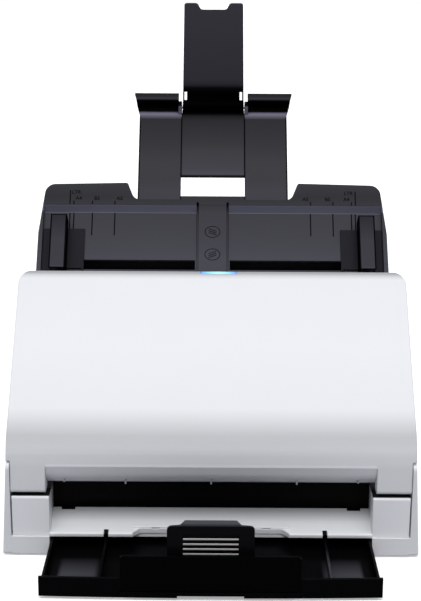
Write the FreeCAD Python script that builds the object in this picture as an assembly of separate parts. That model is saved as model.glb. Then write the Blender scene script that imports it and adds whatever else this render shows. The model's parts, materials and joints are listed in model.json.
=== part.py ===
import FreeCAD, Part

import math
import os

# Sheet fed document scanner, in millimetres.
# Working axes: X to the right, Y from the front to the back, Z up, with Y = 0 on the
# front plane of the base.  The finished shapes are moved so that the origin is under
# the middle of the whole object.
# The paper path is a plane that leans back.  "a" runs up that plane and "n" stands out
# of it towards the user, so a leaning piece is drawn as (x, a, n) and then tilted.

# ---- driving dimensions -------------------------------------------------------------
LEAN = 37.0                    # lean of the paper path from the vertical, degrees
PATH_Y, PATH_Z = 111.6, 177.6  # foot of the feed tray on the paper path: a = 0, n = 0
BASE_HALF = 145.5              # half width of the base at the floor
NECK_HALF = 141.7              # half width where the side wings end
TOP_HALF = 139.4               # half width at the top of the front unit
COVER_WALL = 2.5
UNIT_THICK = 31.0              # front unit, from the paper path to its outer face
UNIT_GAP = 1.5                 # front unit stands this far off the paper path
CROWN_A, CROWN_R = -12.0, 4.0  # top edge of the front unit's face
CORNER_R = 11.5                # rounding of the front unit's upper corners
WING_TOP = 69.5                # top of the side wings beside the front unit's legs
LEG_INNER, LEG_OUTER = 114.9, 139.2
LEG_BOTTOM = 47.0
BLOCK_TOP = 45.0               # corner blocks of the exit guide
BASE_SPLIT = 14.8              # parting height between base and exit guide
FLOOR_Z = 1.5                  # underside of the base pan
BACK_Y = 250.0
DECK_BACK = (190.0, 150.0)     # rear end of the white deck behind the front unit
SHOULDER = (238.0, 118.0)

LIGHT_X = (-8.4, 17.4)         # status light in the top edge
BUTTON_X, BUTTON_N = (66.0, 84.0), 12.6  # start and stop keys on the back slope
PIVOT = (6.0, 52.5)            # front unit hinge
PIN_R = 2.0
RUN_FIT = 0.05                 # radial clearance of a shaft in its bush
BUSH_R = 4.6
LATCH_A, LATCH_N, LATCH_R = -16.4, 21.6, 2.4   # latch shaft of the front unit
LATCH_X = (116.6, 118.6)       # latch arm on the right side
KEEPER_A, KEEPER_N = -15.7, -0.4

REAR_SEAM, REAR_Y = 138.0, 214.0   # where the rear housing meets the side housings
JACK_X, JACK_Z, JACK_R = -96.0, 30.0, 2.9
JACK_DEPTH = 238.0
USB_X, USB_Z = -66.0, 30.0
POWER_X, POWER_Z = 104.0, 30.0

TRAY_HALF = 131.0
TRAY_TOP = 70.9
TRAY_GAP = 57.9                # lower edge of the cut-out in its top
TRAY_LOW = -12.0
TRAY_PLATE = 2.5
RIM_N = 3.6
STRIP_TOP, STRIP_N = 55.6, 0.6  # middle strip: its upper end, and its height at the foot
SLOT_LOW, SLOT_HIGH = 1.6, 9.4
TRAY_BACK_LINE = [(TRAY_LOW - 30.0, -36.0), (16.0, -32.0), (69.4, -10.4)]

RACK_TOP, RACK_LOW_N = -2.9, -5.6
RACK_MID_A = 5.4
PINION_TEETH = 16
GEAR_MODULE = 1.0
GUIDE_FACE = 108.9             # paper face of a document guide, fully open
GUIDE_TRAVEL = 82.0

EXT_TOP, EXT_PLATE = -6.2, 2.4
EXT_HALF = 57.6
EXT_INNER = 24.6
EXT_FOOT = 32.0
EXT_SHOULDER = 137.0
EXT_TRAVEL = 45.0
FLIP_HALF = 23.9
FLIP_A, FLIP_N = 143.5, -6.8   # flip-up support hinge
FLIP_TOP = 239.6
FLIP_FOLD = 150.0              # the support folds forward, clear of the tray's rim

ROLLERS = {                    # name: (a, shaft n, tyre radius, tyre spans)
    "feed": (-26.0, -12.5, 12.8, ((6.0, 23.0),)),
    "registration": (-56.0, -6.5, 6.8, ((22.0, 38.0), (76.0, 92.0))),
    "scan": (-106.0, -6.5, 6.8, ((22.0, 38.0), (76.0, 92.0))),
    "eject": (-138.0, -6.5, 6.8, ((22.0, 38.0), (76.0, 92.0))),
}
SHAFT_R = 3.0
PINCH_R, PINCH_SHAFT_R = 5.0, 1.5
PINCH_N = 5.8
PINCHED = ("registration", "scan", "eject")
RETARD_N, RETARD_R = 11.8, 11.0

FRAME_X, FRAME_T = 121.5, 1.5
PULLEY_R = 5.6
BELT_GAP, BELT_T = 0.35, 1.1
TRANSFER_X = (126.0, 130.0)
DRIVE_X = (131.5, 135.5)
MOTOR_Y, MOTOR_Z, MOTOR_R = 98.0, 56.0, 17.0

EJECT_HALF = 113.2
EJECT_FRONT = -63.9            # eject tray's front wall at its ends
EJECT_BOW = 2.3
EJECT_WALL = (2.0, 15.5)
EJECT_BACK = 70.0
RIB_X = (-73.4, 79.9)          # ribs of the eject tray, and the slots that they pass
EJECT_TRAVEL = 60.0            # push-in travel with the end stop standing
EJECT_REACH = 62.0             # pull-out travel of the inner drawer
EXT_WALL_HALF, EXT_WALL_TOP = 59.4, 31.4
STOPPER_Y, STOPPER_TOP = -57.0, 53.0
STOPPER_HINGE_Z = 10.4


# ---- shape helpers ------------------------------------------------------------------
def path_point(a, n):
    """Return (y, z) of a place given along (a) and off (n) the paper path."""
    lean = math.radians(LEAN)
    y = PATH_Y + a * math.sin(lean) - n * math.cos(lean)
    z = PATH_Z + a * math.cos(lean) + n * math.sin(lean)
    return y, z


def lean(shape):
    """Tilt a shape drawn as (x, a, n) onto the paper path."""
    tilted = shape.copy()
    tilted.rotate(FreeCAD.Vector(0, 0, 0), FreeCAD.Vector(1, 0, 0), 90.0 - LEAN)
    tilted.translate(FreeCAD.Vector(0, PATH_Y, PATH_Z))
    return tilted


def place(u, v, axis, level):
    """Put a point of an outline into space, on the plane across the axis."""
    if axis == "x":
        return FreeCAD.Vector(level, u, v)
    if axis == "y":
        return FreeCAD.Vector(u, level, v)
    return FreeCAD.Vector(u, v, level)


def outline(points, axis="x", level=0.0):
    """Closed wire through (u, v) or (u, v, radius) points, with its corners rounded."""
    corners = [(p[0], p[1], p[2] if len(p) > 2 else 0.0) for p in points]
    count = len(corners)
    stops = []
    for index, (u, v, radius) in enumerate(corners):
        if radius <= 0.0:
            stops.append(((u, v), (u, v), None))
            continue
        before = corners[index - 1]
        after = corners[(index + 1) % count]
        back = (before[0] - u, before[1] - v)
        ahead = (after[0] - u, after[1] - v)
        back_len = math.hypot(*back)
        ahead_len = math.hypot(*ahead)
        back = (back[0] / back_len, back[1] / back_len)
        ahead = (ahead[0] / ahead_len, ahead[1] / ahead_len)
        half = 0.5 * math.acos(max(-1.0, min(1.0, back[0] * ahead[0] + back[1] * ahead[1])))
        reach = radius / math.tan(half)
        middle = (back[0] + ahead[0], back[1] + ahead[1])
        middle_len = math.hypot(*middle)
        depth = radius / math.sin(half) - radius
        stops.append((
            (u + back[0] * reach, v + back[1] * reach),
            (u + ahead[0] * reach, v + ahead[1] * reach),
            (u + middle[0] / middle_len * depth, v + middle[1] / middle_len * depth),
        ))
    edges = []
    for index, (start, end, crown) in enumerate(stops):
        if crown is not None:
            arc = [place(*p, axis, level) for p in (start, crown, end)]
            edges.append(Part.Arc(*arc).toShape())
        following = stops[(index + 1) % count][0]
        if math.hypot(following[0] - end[0], following[1] - end[1]) > 1e-4:
            ends = place(*end, axis, level), place(*following, axis, level)
            edges.append(Part.makeLine(*ends))
    return Part.Wire(edges)


def prism(points, low, high, axis="x"):
    """Carry an outline along an axis from low to high."""
    step = place(0.0, 0.0, axis, high - low)
    return Part.Face(outline(points, axis, low)).extrude(step)


def box(x, y, z):
    """Box from its (low, high) pairs."""
    size = (x[1] - x[0], y[1] - y[0], z[1] - z[0])
    return Part.makeBox(*size, FreeCAD.Vector(x[0], y[0], z[0]))


def rod(radius, x, y, z):
    """Cylinder along X from x[0] to x[1]."""
    start = FreeCAD.Vector(x[0], y, z)
    return Part.makeCylinder(radius, x[1] - x[0], start, FreeCAD.Vector(1, 0, 0))


def tube(outer, inner, x, y, z):
    """Ring along X."""
    return rod(outer, x, y, z).cut(rod(inner, x, y, z))


def post(radius, x, y, z):
    """Cylinder along Z from z[0] to z[1]."""
    return Part.makeCylinder(radius, z[1] - z[0], FreeCAD.Vector(x, y, z[0]))


def turned_post(radius, x, low, high, n):
    """Cylinder along the leaning a direction."""
    start = FreeCAD.Vector(x, low, n)
    return Part.makeCylinder(radius, high - low, start, FreeCAD.Vector(0, 1, 0))


def join(shapes):
    """Fuse shapes into one clean solid."""
    first, *rest = shapes
    return first.multiFuse(rest).removeSplitter() if rest else first


def mirrored(shape):
    """The same shape on the other side of the middle plane."""
    return shape.mirror(FreeCAD.Vector(0, 0, 0), FreeCAD.Vector(1, 0, 0))


def both(shape):
    """A shape together with its mirror image."""
    return [shape, mirrored(shape)]


def span(low, high, side):
    """(low, high) along X on the side +1 or -1."""
    return (low, high) if side > 0 else (-high, -low)


def ribbon(points, thickness, bend):
    """Outline of a bent sheet: its middle line, its thickness and its bend radius."""
    sides = ([], [])
    count = len(points)
    for index, (u, v) in enumerate(points):
        before = points[max(index - 1, 0)]
        after = points[min(index + 1, count - 1)]
        directions = []
        for start, end in ((before, (u, v)), ((u, v), after)):
            length = math.hypot(end[0] - start[0], end[1] - start[1])
            if length > 0.0:
                directions.append(((end[0] - start[0]) / length, (end[1] - start[1]) / length))
        first, last = directions[0], directions[-1]
        normal = (-first[1] - last[1], first[0] + last[0])
        size = math.hypot(*normal)
        normal = (normal[0] / size, normal[1] / size)
        mitre = 0.5 * thickness / (normal[1] * first[0] - normal[0] * first[1])
        turn = first[0] * last[1] - first[1] * last[0]
        for side, line in zip((1.0, -1.0), sides):
            radius = 0.0
            if abs(turn) > 1e-6:
                radius = bend - side * math.copysign(0.5 * thickness, turn)
            line.append((u + side * mitre * normal[0], v + side * mitre * normal[1], radius))
    return sides[0] + sides[1][::-1]


def envelope():
    """Outer width of the white housings: upright above, flaring towards the floor."""
    right = [
        (BASE_HALF, -5.0), (BASE_HALF, 4.0, 60.0), (NECK_HALF + 0.35, 66.0, 160.0),
        (TOP_HALF, 178.0), (TOP_HALF, 260.0),
    ]
    left = [(-p[0],) + tuple(p[1:]) for p in reversed(right)]
    return prism(right + left, -100.0, 400.0, "y")


# ---- front unit ---------------------------------------------------------------------
def unit_outline(inset=0.0):
    """Side outline of the front unit, or of its hollow when inset by the wall."""
    face = UNIT_THICK - inset
    knee = path_point(-141.0, face)
    crown = path_point(CROWN_A - inset * 1.25, face)
    rear_top = path_point(-7.2 - inset, 7.0)
    mouth = path_point(-9.0 - inset, 4.4)
    throat = path_point(-22.0, UNIT_GAP)
    heel = path_point(-160.0, UNIT_GAP)
    front_y = 0.4 + inset
    return [
        (front_y, LEG_BOTTOM, 2.5), (knee[0] + 0.2, knee[1] + 0.2, 28.0 - inset),
        (*crown, CROWN_R - inset), (*rear_top, 1.2), mouth, throat, heel,
        (heel[0] - 2.0, LEG_BOTTOM, 3.5),
    ]


def corner_mask():
    """Block that rounds the upper corners of the front unit along its back slope."""
    low_a, low_half = -175.0, TOP_HALF + 3.0
    face = [
        (-low_half, low_a), (low_half, low_a), (TOP_HALF, CROWN_A, CORNER_R),
        (-TOP_HALF, CROWN_A, CORNER_R),
    ]
    front = Part.Face(outline(face, "z", UNIT_THICK + 1.0))
    return lean(front.extrude(FreeCAD.Vector(0.0, 12.0, -60.0)))


def front_cover():
    """White front cover with its two legs, hollow behind."""
    shell = prism(unit_outline(), -150.0, 150.0).common(envelope()).common(corner_mask())
    for side in (1, -1):
        outside = box(span(LEG_OUTER, 160.0, side), (-20.0, 120.0), (0.0, WING_TOP + 1.0))
        shell = shell.cut(outside)
    under_lip = [
        (-20.0, 69.0), (0.4, 69.0, 5.0), (4.5, 58.0, 9.0), (10.0, 54.0),
        (14.0, 52.0), (14.0, 30.0), (-20.0, 30.0),
    ]
    shell = shell.cut(prism(under_lip, -LEG_INNER, LEG_INNER))
    hollow_top = path_point(-12.5, 27.6)
    rear = path_point(-10.5, 8.0)
    hollow = [
        (3.4, 74.0), (4.6, 82.0, 20.0), path_point(-134.0, 28.4) + (6.0,),
        hollow_top + (5.0,), rear, path_point(-13.0, 4.6), path_point(-24.0, 4.2),
        path_point(-24.0, -3.0), path_point(-152.0, -3.0), path_point(-152.0, 4.0),
        (12.0, 60.0),
    ]
    half = TOP_HALF - COVER_WALL - 0.6
    shell = shell.cut(prism(hollow, -LEG_INNER + 2.4, LEG_INNER - 2.4))
    wing_hollow = [
        (3.4, 78.0), (4.6, 82.0, 20.0), path_point(-134.0, 28.4) + (6.0,),
        hollow_top + (5.0,), rear, path_point(-13.0, 4.6), path_point(-24.0, 4.2),
        path_point(-24.0, -3.0), path_point(-124.0, -3.0),
    ]
    shell = shell.cut(prism(wing_hollow, -half, half))
    for side in (1, -1):
        leg = [(3.4, 60.0), (3.4, 78.0), (40.0, 82.0), path_point(-124.0, -3.0),
               path_point(-150.0, -3.0), path_point(-150.0, 4.0)]
        shell = shell.cut(prism(leg, *span(LEG_INNER + 2.4, LEG_OUTER - 2.4, side)))
        hole = rod(PIN_R + RUN_FIT, span(LEG_OUTER - 9.0, LEG_OUTER + 1.0, side), *PIVOT)
        shell = shell.cut(hole)
    shell = shell.cut(light_region(0.2))
    shell = shell.cut(lean(box((-103.4, -76.6), (-17.5, 0.0), (11.0, 22.6))))
    for x in BUTTON_X:
        shell = shell.cut(lean(turned_post(4.9, x, -30.0, 0.0, BUTTON_N)))
    for side in (1, -1):
        shell = shell.cut(lean(box(span(115.4, 119.8, side), (-29.0, -8.0), (-5.0, 6.0))))
    return shell.cut(lean(box((-27.5, 27.5), (-40.0, -13.8), (-3.0, 8.0))))


def light_region(margin=0.0):
    """Box that holds the status light, grown by a margin for its seat."""
    y, z = path_point(-11.4, UNIT_THICK)
    return box((LIGHT_X[0] - margin, LIGHT_X[1] + margin), (y - 2.4 - margin, y + 8.0 + margin),
               (z - 2.4 - margin, z + 12.0))


def status_light():
    """Clear light bar let into the top edge."""
    return prism(unit_outline(), *LIGHT_X).common(light_region())


def inner_guide():
    """Black guide that closes the back of the front unit and carries its rollers."""
    wide = box((-135.8, 135.8), (-123.5, -24.5), (UNIT_GAP, 3.9))
    narrow = box((-112.0, 112.0), (-151.0, -122.0), (UNIT_GAP, 3.9))
    plate = join([wide, narrow])
    for x in range(-105, 106, 15):
        plate = plate.fuse(box((x - 0.8, x + 0.8), (-148.0, -112.8), (3.0, 7.4)))
    for name in PINCHED:
        a, _, _, spans = ROLLERS[name]
        for low, high in spans:
            for side in (1, -1):
                window = box(span(low - 1.5, high + 1.5, side), (a - 6.5, a + 6.5), (0.0, 9.0))
                plate = plate.cut(window)
        for x in (57.0, -57.0, 104.0, -104.0):
            ear = box((x - 2.0, x + 2.0), (a - 4.0, a + 4.0), (3.9, PINCH_N + 4.0))
            plate = plate.fuse(ear)
        plate = plate.cut(rod(PINCH_SHAFT_R + RUN_FIT, (-110.0, 110.0), a, PINCH_N))
    feed_a = ROLLERS["feed"][0]
    plate = plate.cut(box((-26.0, 26.0), (feed_a - 12.5, feed_a + 12.5), (0.0, 9.0)))
    plate = plate.cut(box((-113.0, 113.0), (-82.5, -65.5), (0.0, 9.0)))
    for side in (1, -1):
        notch = span(LATCH_X[0] - 1.2, LATCH_X[1] + 1.2, side)
        plate = plate.cut(box(notch, (-30.0, -20.0), (0.0, 9.0)))
    return lean(plate.removeSplitter())


def upper_sensor():
    """Image sensor bar of the front unit."""
    return lean(box((-112.6, 112.6), (-82.2, -65.8), (2.5, 16.0)))


def upper_sensor_glass():
    return lean(box((-112.6, 112.6), (-82.2, -65.8), (UNIT_GAP, 2.5)))


def retard_roller():
    """Separation roller: a hub with two rubber tyres is one unit on its shaft."""
    a = ROLLERS["feed"][0]
    tyres = [rod(RETARD_R, span(6.0, 23.0, side), a, RETARD_N) for side in (1, -1)]
    bore = rod(SHAFT_R, (-30.0, 30.0), a, RETARD_N)
    return [lean(tyre.cut(bore)) for tyre in tyres]


def retard_shaft():
    a = ROLLERS["feed"][0]
    shaft = rod(SHAFT_R, (-30.0, 30.0), a, RETARD_N)
    collar = rod(RETARD_R - 4.0, (-5.8, 5.8), a, RETARD_N)
    return lean(join([shaft, collar]))


def retard_holder():
    """Bracket that holds the separation roller in the front unit."""
    a = ROLLERS["feed"][0]
    cheek = [(a - 11.0, 4.1), (a + 1.0, 4.1), (a + 7.0, 10.0, 4.0), (a + 4.0, 18.0, 5.0),
             (a - 7.0, 24.0, 5.0), (a - 13.0, 18.0, 4.0)]
    cheeks = [prism(cheek, *span(26.6, 28.8, side)) for side in (1, -1)]
    bridge = box((-28.8, 28.8), (a - 15.0, a - 11.6), (9.0, 20.0))
    holder = join(cheeks + [bridge])
    return lean(holder.cut(rod(SHAFT_R + RUN_FIT, (-40.0, 40.0), a, RETARD_N)))


def pinch_shaft(name):
    a = ROLLERS[name][0]
    return lean(rod(PINCH_SHAFT_R, (-108.0, 108.0), a, PINCH_N))


def pinch_rollers(name):
    """Free rollers that press the sheet on a driven shaft."""
    a, _, _, spans = ROLLERS[name]
    rings = []
    for low, high in spans:
        for side in (1, -1):
            ring = tube(PINCH_R, PINCH_SHAFT_R, span(low, high, side), a, PINCH_N)
            rings.append(lean(ring))
    return rings


def latch_shaft():
    """Cross shaft that turns both latch arms with the lever."""
    return lean(rod(LATCH_R, (-120.6, 120.6), LATCH_A, LATCH_N))


def open_lever():
    """Finger lever let into the top of the front unit."""
    tab = [(-13.4, 12.0), (-11.2, 12.0, 1.0), (-11.2, 21.6, 1.0), (-13.4, 21.6)]
    hub = rod(3.6, (-102.0, -78.0), LATCH_A, LATCH_N)
    web = box((-102.0, -78.0), (-18.0, -12.4), (13.0, 20.0))
    lever = join([prism(tab, -102.6, -77.4), hub, web])
    return lean(lever.cut(rod(LATCH_R, (-110.0, -70.0), LATCH_A, LATCH_N)))


def latch_arm(side):
    """Arm at one end of the latch shaft, reaching past the paper path."""
    arm = [(-20.4, 25.4, 3.0), (-13.4, 25.4, 3.0), (-13.8, 17.0, 2.0), (-19.4, 4.0, 1.0),
           (-19.4, -0.8), (-17.6, -2.4), (-17.6, -3.6, 0.6), (-23.2, -3.6, 1.0),
           (-23.2, 4.0, 2.0), (-20.8, 17.0, 3.0)]
    plate = prism(arm, *span(*LATCH_X, side))
    return lean(plate.cut(rod(LATCH_R, span(110.0, 125.0, side), LATCH_A, LATCH_N)))


def top_button(x):
    """Round key on the back slope of the front unit; it travels along the a direction."""
    return lean(join([
        turned_post(4.5, x, -12.6, -7.4, BUTTON_N), turned_post(6.0, x, -14.4, -12.4, BUTTON_N),
    ]))


# ---- base housing -------------------------------------------------------------------
def body_outline(inset=0.0):
    """Side outline of the white base housing."""
    seam = path_point(-140.0, 0.9)
    corner_y = seam[0] + (WING_TOP - seam[1]) * math.tan(math.radians(LEAN))
    seam_top = path_point(-6.0, 0.9)
    return [
        (inset, FLOOR_Z + inset, 1.5), (inset, WING_TOP - inset, 5.0),
        (corner_y + inset, WING_TOP - inset, 0.0 if inset else 1.0),
        (seam_top[0] + inset * 1.2, seam_top[1] - inset, 0.0),
        (DECK_BACK[0], DECK_BACK[1] - inset, 30.0),
        (SHOULDER[0] - inset, SHOULDER[1] - inset, 26.0 - inset),
        (BACK_Y - inset, 40.0, 60.0), (BACK_Y - inset, FLOOR_Z + inset, 5.0 - inset),
    ]


def side_cover(side):
    """White side housing with the wing that carries the front unit's hinge pin."""
    solid = prism(body_outline(), 60.0, 160.0).common(envelope())
    solid = solid.cut(box((60.0, 112.9), (-5.0, 300.0), (0.0, 300.0)))
    hollow = prism(body_outline(COVER_WALL), 100.0, LEG_OUTER + 0.4)
    core = box((100.0, LEG_OUTER + 0.4), (-5.0, 300.0), (-5.0, 300.0))
    nose = box((112.9, LEG_OUTER + 0.4), (0.0, 30.0), (FLOOR_Z, BASE_SPLIT - 0.2))
    nose_hollow = box((100.0, LEG_OUTER - 2.0), (2.6, 31.0), (FLOOR_Z + 2.0, 13.0))
    deck = prism(body_outline(), 100.0, LEG_OUTER + 0.4).cut(hollow)
    deck = deck.common(box((TRAY_HALF + 0.6, 160.0), (60.0, REAR_Y), (60.0, 300.0)))
    back = prism(body_outline(), 100.0, LEG_OUTER + 0.4).cut(hollow)
    back = back.common(box((REAR_SEAM, 160.0), (REAR_Y, 300.0), (FLOOR_Z + 3.0, 300.0)))
    cover = join([solid.cut(core), nose.cut(nose_hollow), deck, back])
    cover = cover.cut(rod(PIN_R, (130.0, 142.6), *PIVOT))
    if side > 0:
        cover = cover.cut(box((130.0, 160.0), (205.0, 212.0), (30.0, 33.4)))
    return cover if side > 0 else mirrored(cover)


def hinge_pins():
    """Two pins that the front unit swings on, pressed into the side wings."""
    pin = rod(PIN_R, (LEG_OUTER - 8.0, 142.6), *PIVOT)
    return both(pin)


def rear_cover():
    """White rear housing: deck behind the tray, shoulder, back wall and its openings."""
    shell = prism(body_outline(), -REAR_SEAM, REAR_SEAM)
    shell = shell.cut(prism(body_outline(COVER_WALL), -REAR_SEAM - 1, REAR_SEAM + 1))
    keep = box((-REAR_SEAM, REAR_SEAM), (REAR_Y, 300.0), (FLOOR_Z + 3.0, 300.0))
    deck = box((-TRAY_HALF - 0.4, TRAY_HALF + 0.4), (120.0, 220.0), (100.0, 300.0))
    shell = shell.common(join([keep, deck]))
    tray = [(TRAY_LOW - 30.0, 20.0), (90.0, 20.0)] + TRAY_BACK_LINE[::-1]
    shell = shell.cut(lean(prism(tray, -TRAY_HALF - 1.0, TRAY_HALF + 1.0)))
    for row in range(5):
        z = 62.0 + row * 6.0
        for side in (1, -1):
            shell = shell.cut(box(span(24.0, 96.0, side), (230.0, 260.0), (z, z + 2.4)))
    shell = shell.cut(port_hole(JACK_X, JACK_Z, 4.4))
    shell = shell.cut(box((USB_X - 6.4, USB_X + 6.4), (230.0, 260.0), (USB_Z - 6.0, USB_Z + 6.0)))
    return shell.cut(port_hole(POWER_X, POWER_Z, 6.3))


def port_hole(x, z, radius):
    start = FreeCAD.Vector(x, 225.0, z)
    return Part.makeCylinder(radius, 40.0, start, FreeCAD.Vector(0, 1, 0))


def rear_ring(x, z, radius, y):
    """Cylinder along Y."""
    start = FreeCAD.Vector(x, y[0], z)
    return Part.makeCylinder(radius, y[1] - y[0], start, FreeCAD.Vector(0, 1, 0))


def power_jack():
    body = box((JACK_X - 5.5, JACK_X + 5.5), (232.0, 246.8), (JACK_Z - 5.5, JACK_Z + 5.5))
    barrel = rear_ring(JACK_X, JACK_Z, 4.2, (246.0, 249.4))
    return join([body, barrel]).cut(rear_ring(JACK_X, JACK_Z, JACK_R, (JACK_DEPTH, 251.0)))


def usb_port():
    shell = box((USB_X - 6.0, USB_X + 6.0), (232.0, 249.0), (USB_Z - 5.5, USB_Z + 5.5))
    mouth = box((USB_X - 4.6, USB_X + 4.6), (238.0, 251.0), (USB_Z - 4.2, USB_Z + 4.2))
    tongue = box((USB_X - 2.8, USB_X + 2.8), (237.0, 241.0), (USB_Z - 1.6, USB_Z + 1.6))
    return join([shell.cut(mouth), tongue])


def power_button():
    """Push key on the back; it travels forwards into the housing."""
    return join([
        rear_ring(POWER_X, POWER_Z, 5.9, (243.0, 251.6)),
        rear_ring(POWER_X, POWER_Z, 7.6, (241.0, 243.2)),
    ])


def base_pan():
    """Pan under the whole base, with an upright rim and stiffening ribs."""
    plate = box((-LEG_OUTER - 0.2, LEG_OUTER + 0.2), (31.0, 246.6), (FLOOR_Z, FLOOR_Z + 1.6))
    plate = plate.fuse(box((-112.4, 112.4), (3.0, 31.5), (FLOOR_Z, FLOOR_Z + 1.6)))
    for side in (1, -1):
        wall = box(span(EJECT_HALF + 0.8, EJECT_HALF + 2.4, side), (31.0, 210.0),
                   (FLOOR_Z, BASE_SPLIT - 0.4))
        plate = plate.fuse(wall)
    back = box((-116.0, 116.0), (208.4, 210.0), (FLOOR_Z, BASE_SPLIT - 0.4))
    return join([plate, back])


def feet():
    """Four rubber feet."""
    pads = []
    for side in (1, -1):
        for y in (18.0, 228.0):
            pads.append(post(7.0, side * 126.0, y, (0.0, FLOOR_Z)))
    return pads


def exit_guide():
    """White exit guide: two corner blocks and the hollowed slide between them."""
    blocks = []
    for side in (1, -1):
        block = [(1.4, BASE_SPLIT, 0.6), (0.4, BLOCK_TOP, 2.0), (30.0, BLOCK_TOP - 1.0),
                 (30.0, BASE_SPLIT)]
        solid = prism(block, *span(112.6, 138.6, side))
        inner = box(span(115.2, 136.4, side), (4.0, 31.0), (BASE_SPLIT - 1.0, BLOCK_TOP - 4.0))
        blocks.append(solid.cut(inner))
    slide = [(0.4, 14.0, 0.8), (0.4, 17.2, 1.2), (11.0, 17.6, 22.0), (22.0, 27.8, 1.0),
             (23.6, 26.0), (13.0, 14.6, 14.0)]
    floor = prism(slide, -112.8, 112.8)
    recess = [(-56.0, -2.0), (56.0, -2.0), (54.0, 2.4, 2.5), (50.0, 7.0, 3.0),
              (-50.0, 7.0, 3.0), (-54.0, 2.4, 2.5)]
    floor = floor.cut(prism(recess, 10.0, 30.0, "z"))
    back = [(7.4, 11.4), (7.4, 19.2, 1.0), (9.6, 19.6), (10.4, 11.4)]
    floor = floor.fuse(prism(back, -55.0, 55.0))
    for side in (1, -1):
        floor = floor.cut(box(span(96.6, 106.3, side), (20.4, 30.0), (20.0, 30.0)))
        floor = floor.cut(box(span(36.0, 41.5, side), (6.0, 8.4), (17.4, 18.5)))
    for x in RIB_X:
        floor = floor.cut(box((x - 1.7, x + 1.7), (-1.0, 5.4), (10.0, 30.0)))
    return join(blocks + [floor])


def chassis():
    """Inner floor above the eject tray and the dark wall behind the exit."""
    floor = box((-120.6, 120.6), (31.6, 214.0), (BASE_SPLIT, BASE_SPLIT + 2.2))
    wall = box((-112.5, 112.5), (26.4, 28.4), (14.8, 56.0))
    joint = box((-112.5, 112.5), (26.4, 32.0), (BASE_SPLIT, BASE_SPLIT + 2.2))
    parts = [floor, wall, joint]
    for side in (1, -1):
        parts.append(box(span(60.0, 62.0, side), (28.0, 50.0), (BASE_SPLIT + 1.0, 50.0)))
    return join(parts)


def side_frame(side):
    """Pressed steel frame that carries the shafts."""
    plate = [
        path_point(-149.0, -1.6), path_point(-12.0, -1.6), path_point(-12.0, -24.0) + (6.0,),
        path_point(-60.0, -24.0) + (20.0,), (116.0, 70.0, 10.0), (116.0, BASE_SPLIT + 2.3),
        (33.0, BASE_SPLIT + 2.3), (33.0, 40.0, 6.0),
    ]
    frame = prism(plate, *span(FRAME_X, FRAME_X + FRAME_T, side))
    for a, n, _, _ in ROLLERS.values():
        y, z = path_point(a, n)
        frame = frame.cut(rod(BUSH_R, span(118.0, 128.0, side), y, z))
    hole = rod(9.0, span(118.0, 128.0, side), MOTOR_Y, MOTOR_Z)
    foot = box(span(FRAME_X - 12.0, FRAME_X + 0.4, side), (40.0, 112.0), (17.1, 18.4))
    keeper_y, keeper_z = path_point(KEEPER_A, KEEPER_N)
    lug = lean(box(span(FRAME_X, FRAME_X + FRAME_T, side), (-19.0, -13.0), (-3.0, 0.9)))
    keeper = rod(1.2, span(116.2, FRAME_X + FRAME_T, side), keeper_y, keeper_z)
    return join([frame.cut(hole), foot, lug, keeper])


def shaft_bushes():
    """Plain bearings of the driven shafts, pressed into the frames."""
    rings = []
    for a, n, _, _ in ROLLERS.values():
        y, z = path_point(a, n)
        for side in (1, -1):
            rings.append(tube(BUSH_R, SHAFT_R + RUN_FIT, span(120.4, 124.0, side), y, z))
    return rings


def lower_guide():
    """Black lower paper guide with windows for tyres and the sensor."""
    plate = box((-118.0, 118.0), (-150.0, -12.6), (-TRAY_PLATE, 0.0))
    for name, (a, _, radius, spans) in ROLLERS.items():
        reach = radius + 1.2
        for low, high in spans:
            for side in (1, -1):
                window = box(span(low - 1.2, high + 1.2, side), (a - reach, a + reach), (-6.0, 3.0))
                plate = plate.cut(window)
    plate = plate.cut(box((-113.2, 113.2), (-98.2, -81.8), (-6.0, 3.0)))
    shaft = rod(SHAFT_R + 1.0, (-120.0, 120.0), 0.0, -6.5)
    for name in PINCHED:
        moved = shaft.copy()
        moved.translate(FreeCAD.Vector(0, ROLLERS[name][0], 0))
        plate = plate.cut(moved)
    for side in (1, -1):
        slot = box(span(115.6, 119.2, side), (-28.5, -12.0), (-9.0, 3.0))
        plate = plate.cut(slot)
    return lean(plate)


def lower_sensor():
    """Image sensor bar of the base."""
    return lean(box((-112.6, 112.6), (-98.0, -82.0), (-14.5, -1.2)))


def lower_sensor_glass():
    return lean(box((-112.6, 112.6), (-98.0, -82.0), (-1.2, -0.1)))


def sensor_bracket():
    """Steel channel under the base sensor."""
    channel = [(-99.6, -15.9), (-80.4, -15.9), (-80.4, -6.0), (-81.8, -6.0), (-81.8, -14.6),
               (-98.2, -14.6), (-98.2, -9.4), (-99.6, -9.4)]
    return lean(prism(channel, -121.3, 121.3))


# ---- drive --------------------------------------------------------------------------
def roller_shaft(name):
    """Steel shaft of a driven roller, with a flat hub under each tyre."""
    a, n, radius, spans = ROLLERS[name]
    y, z = path_point(a, n)
    hub = SHAFT_R + 1.0 if radius < 10.0 else radius - 3.5
    pieces = [rod(SHAFT_R, (-136.6, 124.6), y, z)]
    for low, high in spans:
        for side in (1, -1):
            pieces.append(rod(hub, span(low, high, side), y, z))
    return join(pieces)


def roller_tyres(name):
    """Rubber tyres of a driven roller."""
    a, n, radius, spans = ROLLERS[name]
    y, z = path_point(a, n)
    hub = SHAFT_R + 1.0 if radius < 10.0 else radius - 3.5
    rings = []
    for low, high in spans:
        for side in (1, -1):
            rings.append(tube(radius, hub, span(low, high, side), y, z))
    return rings


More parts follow.
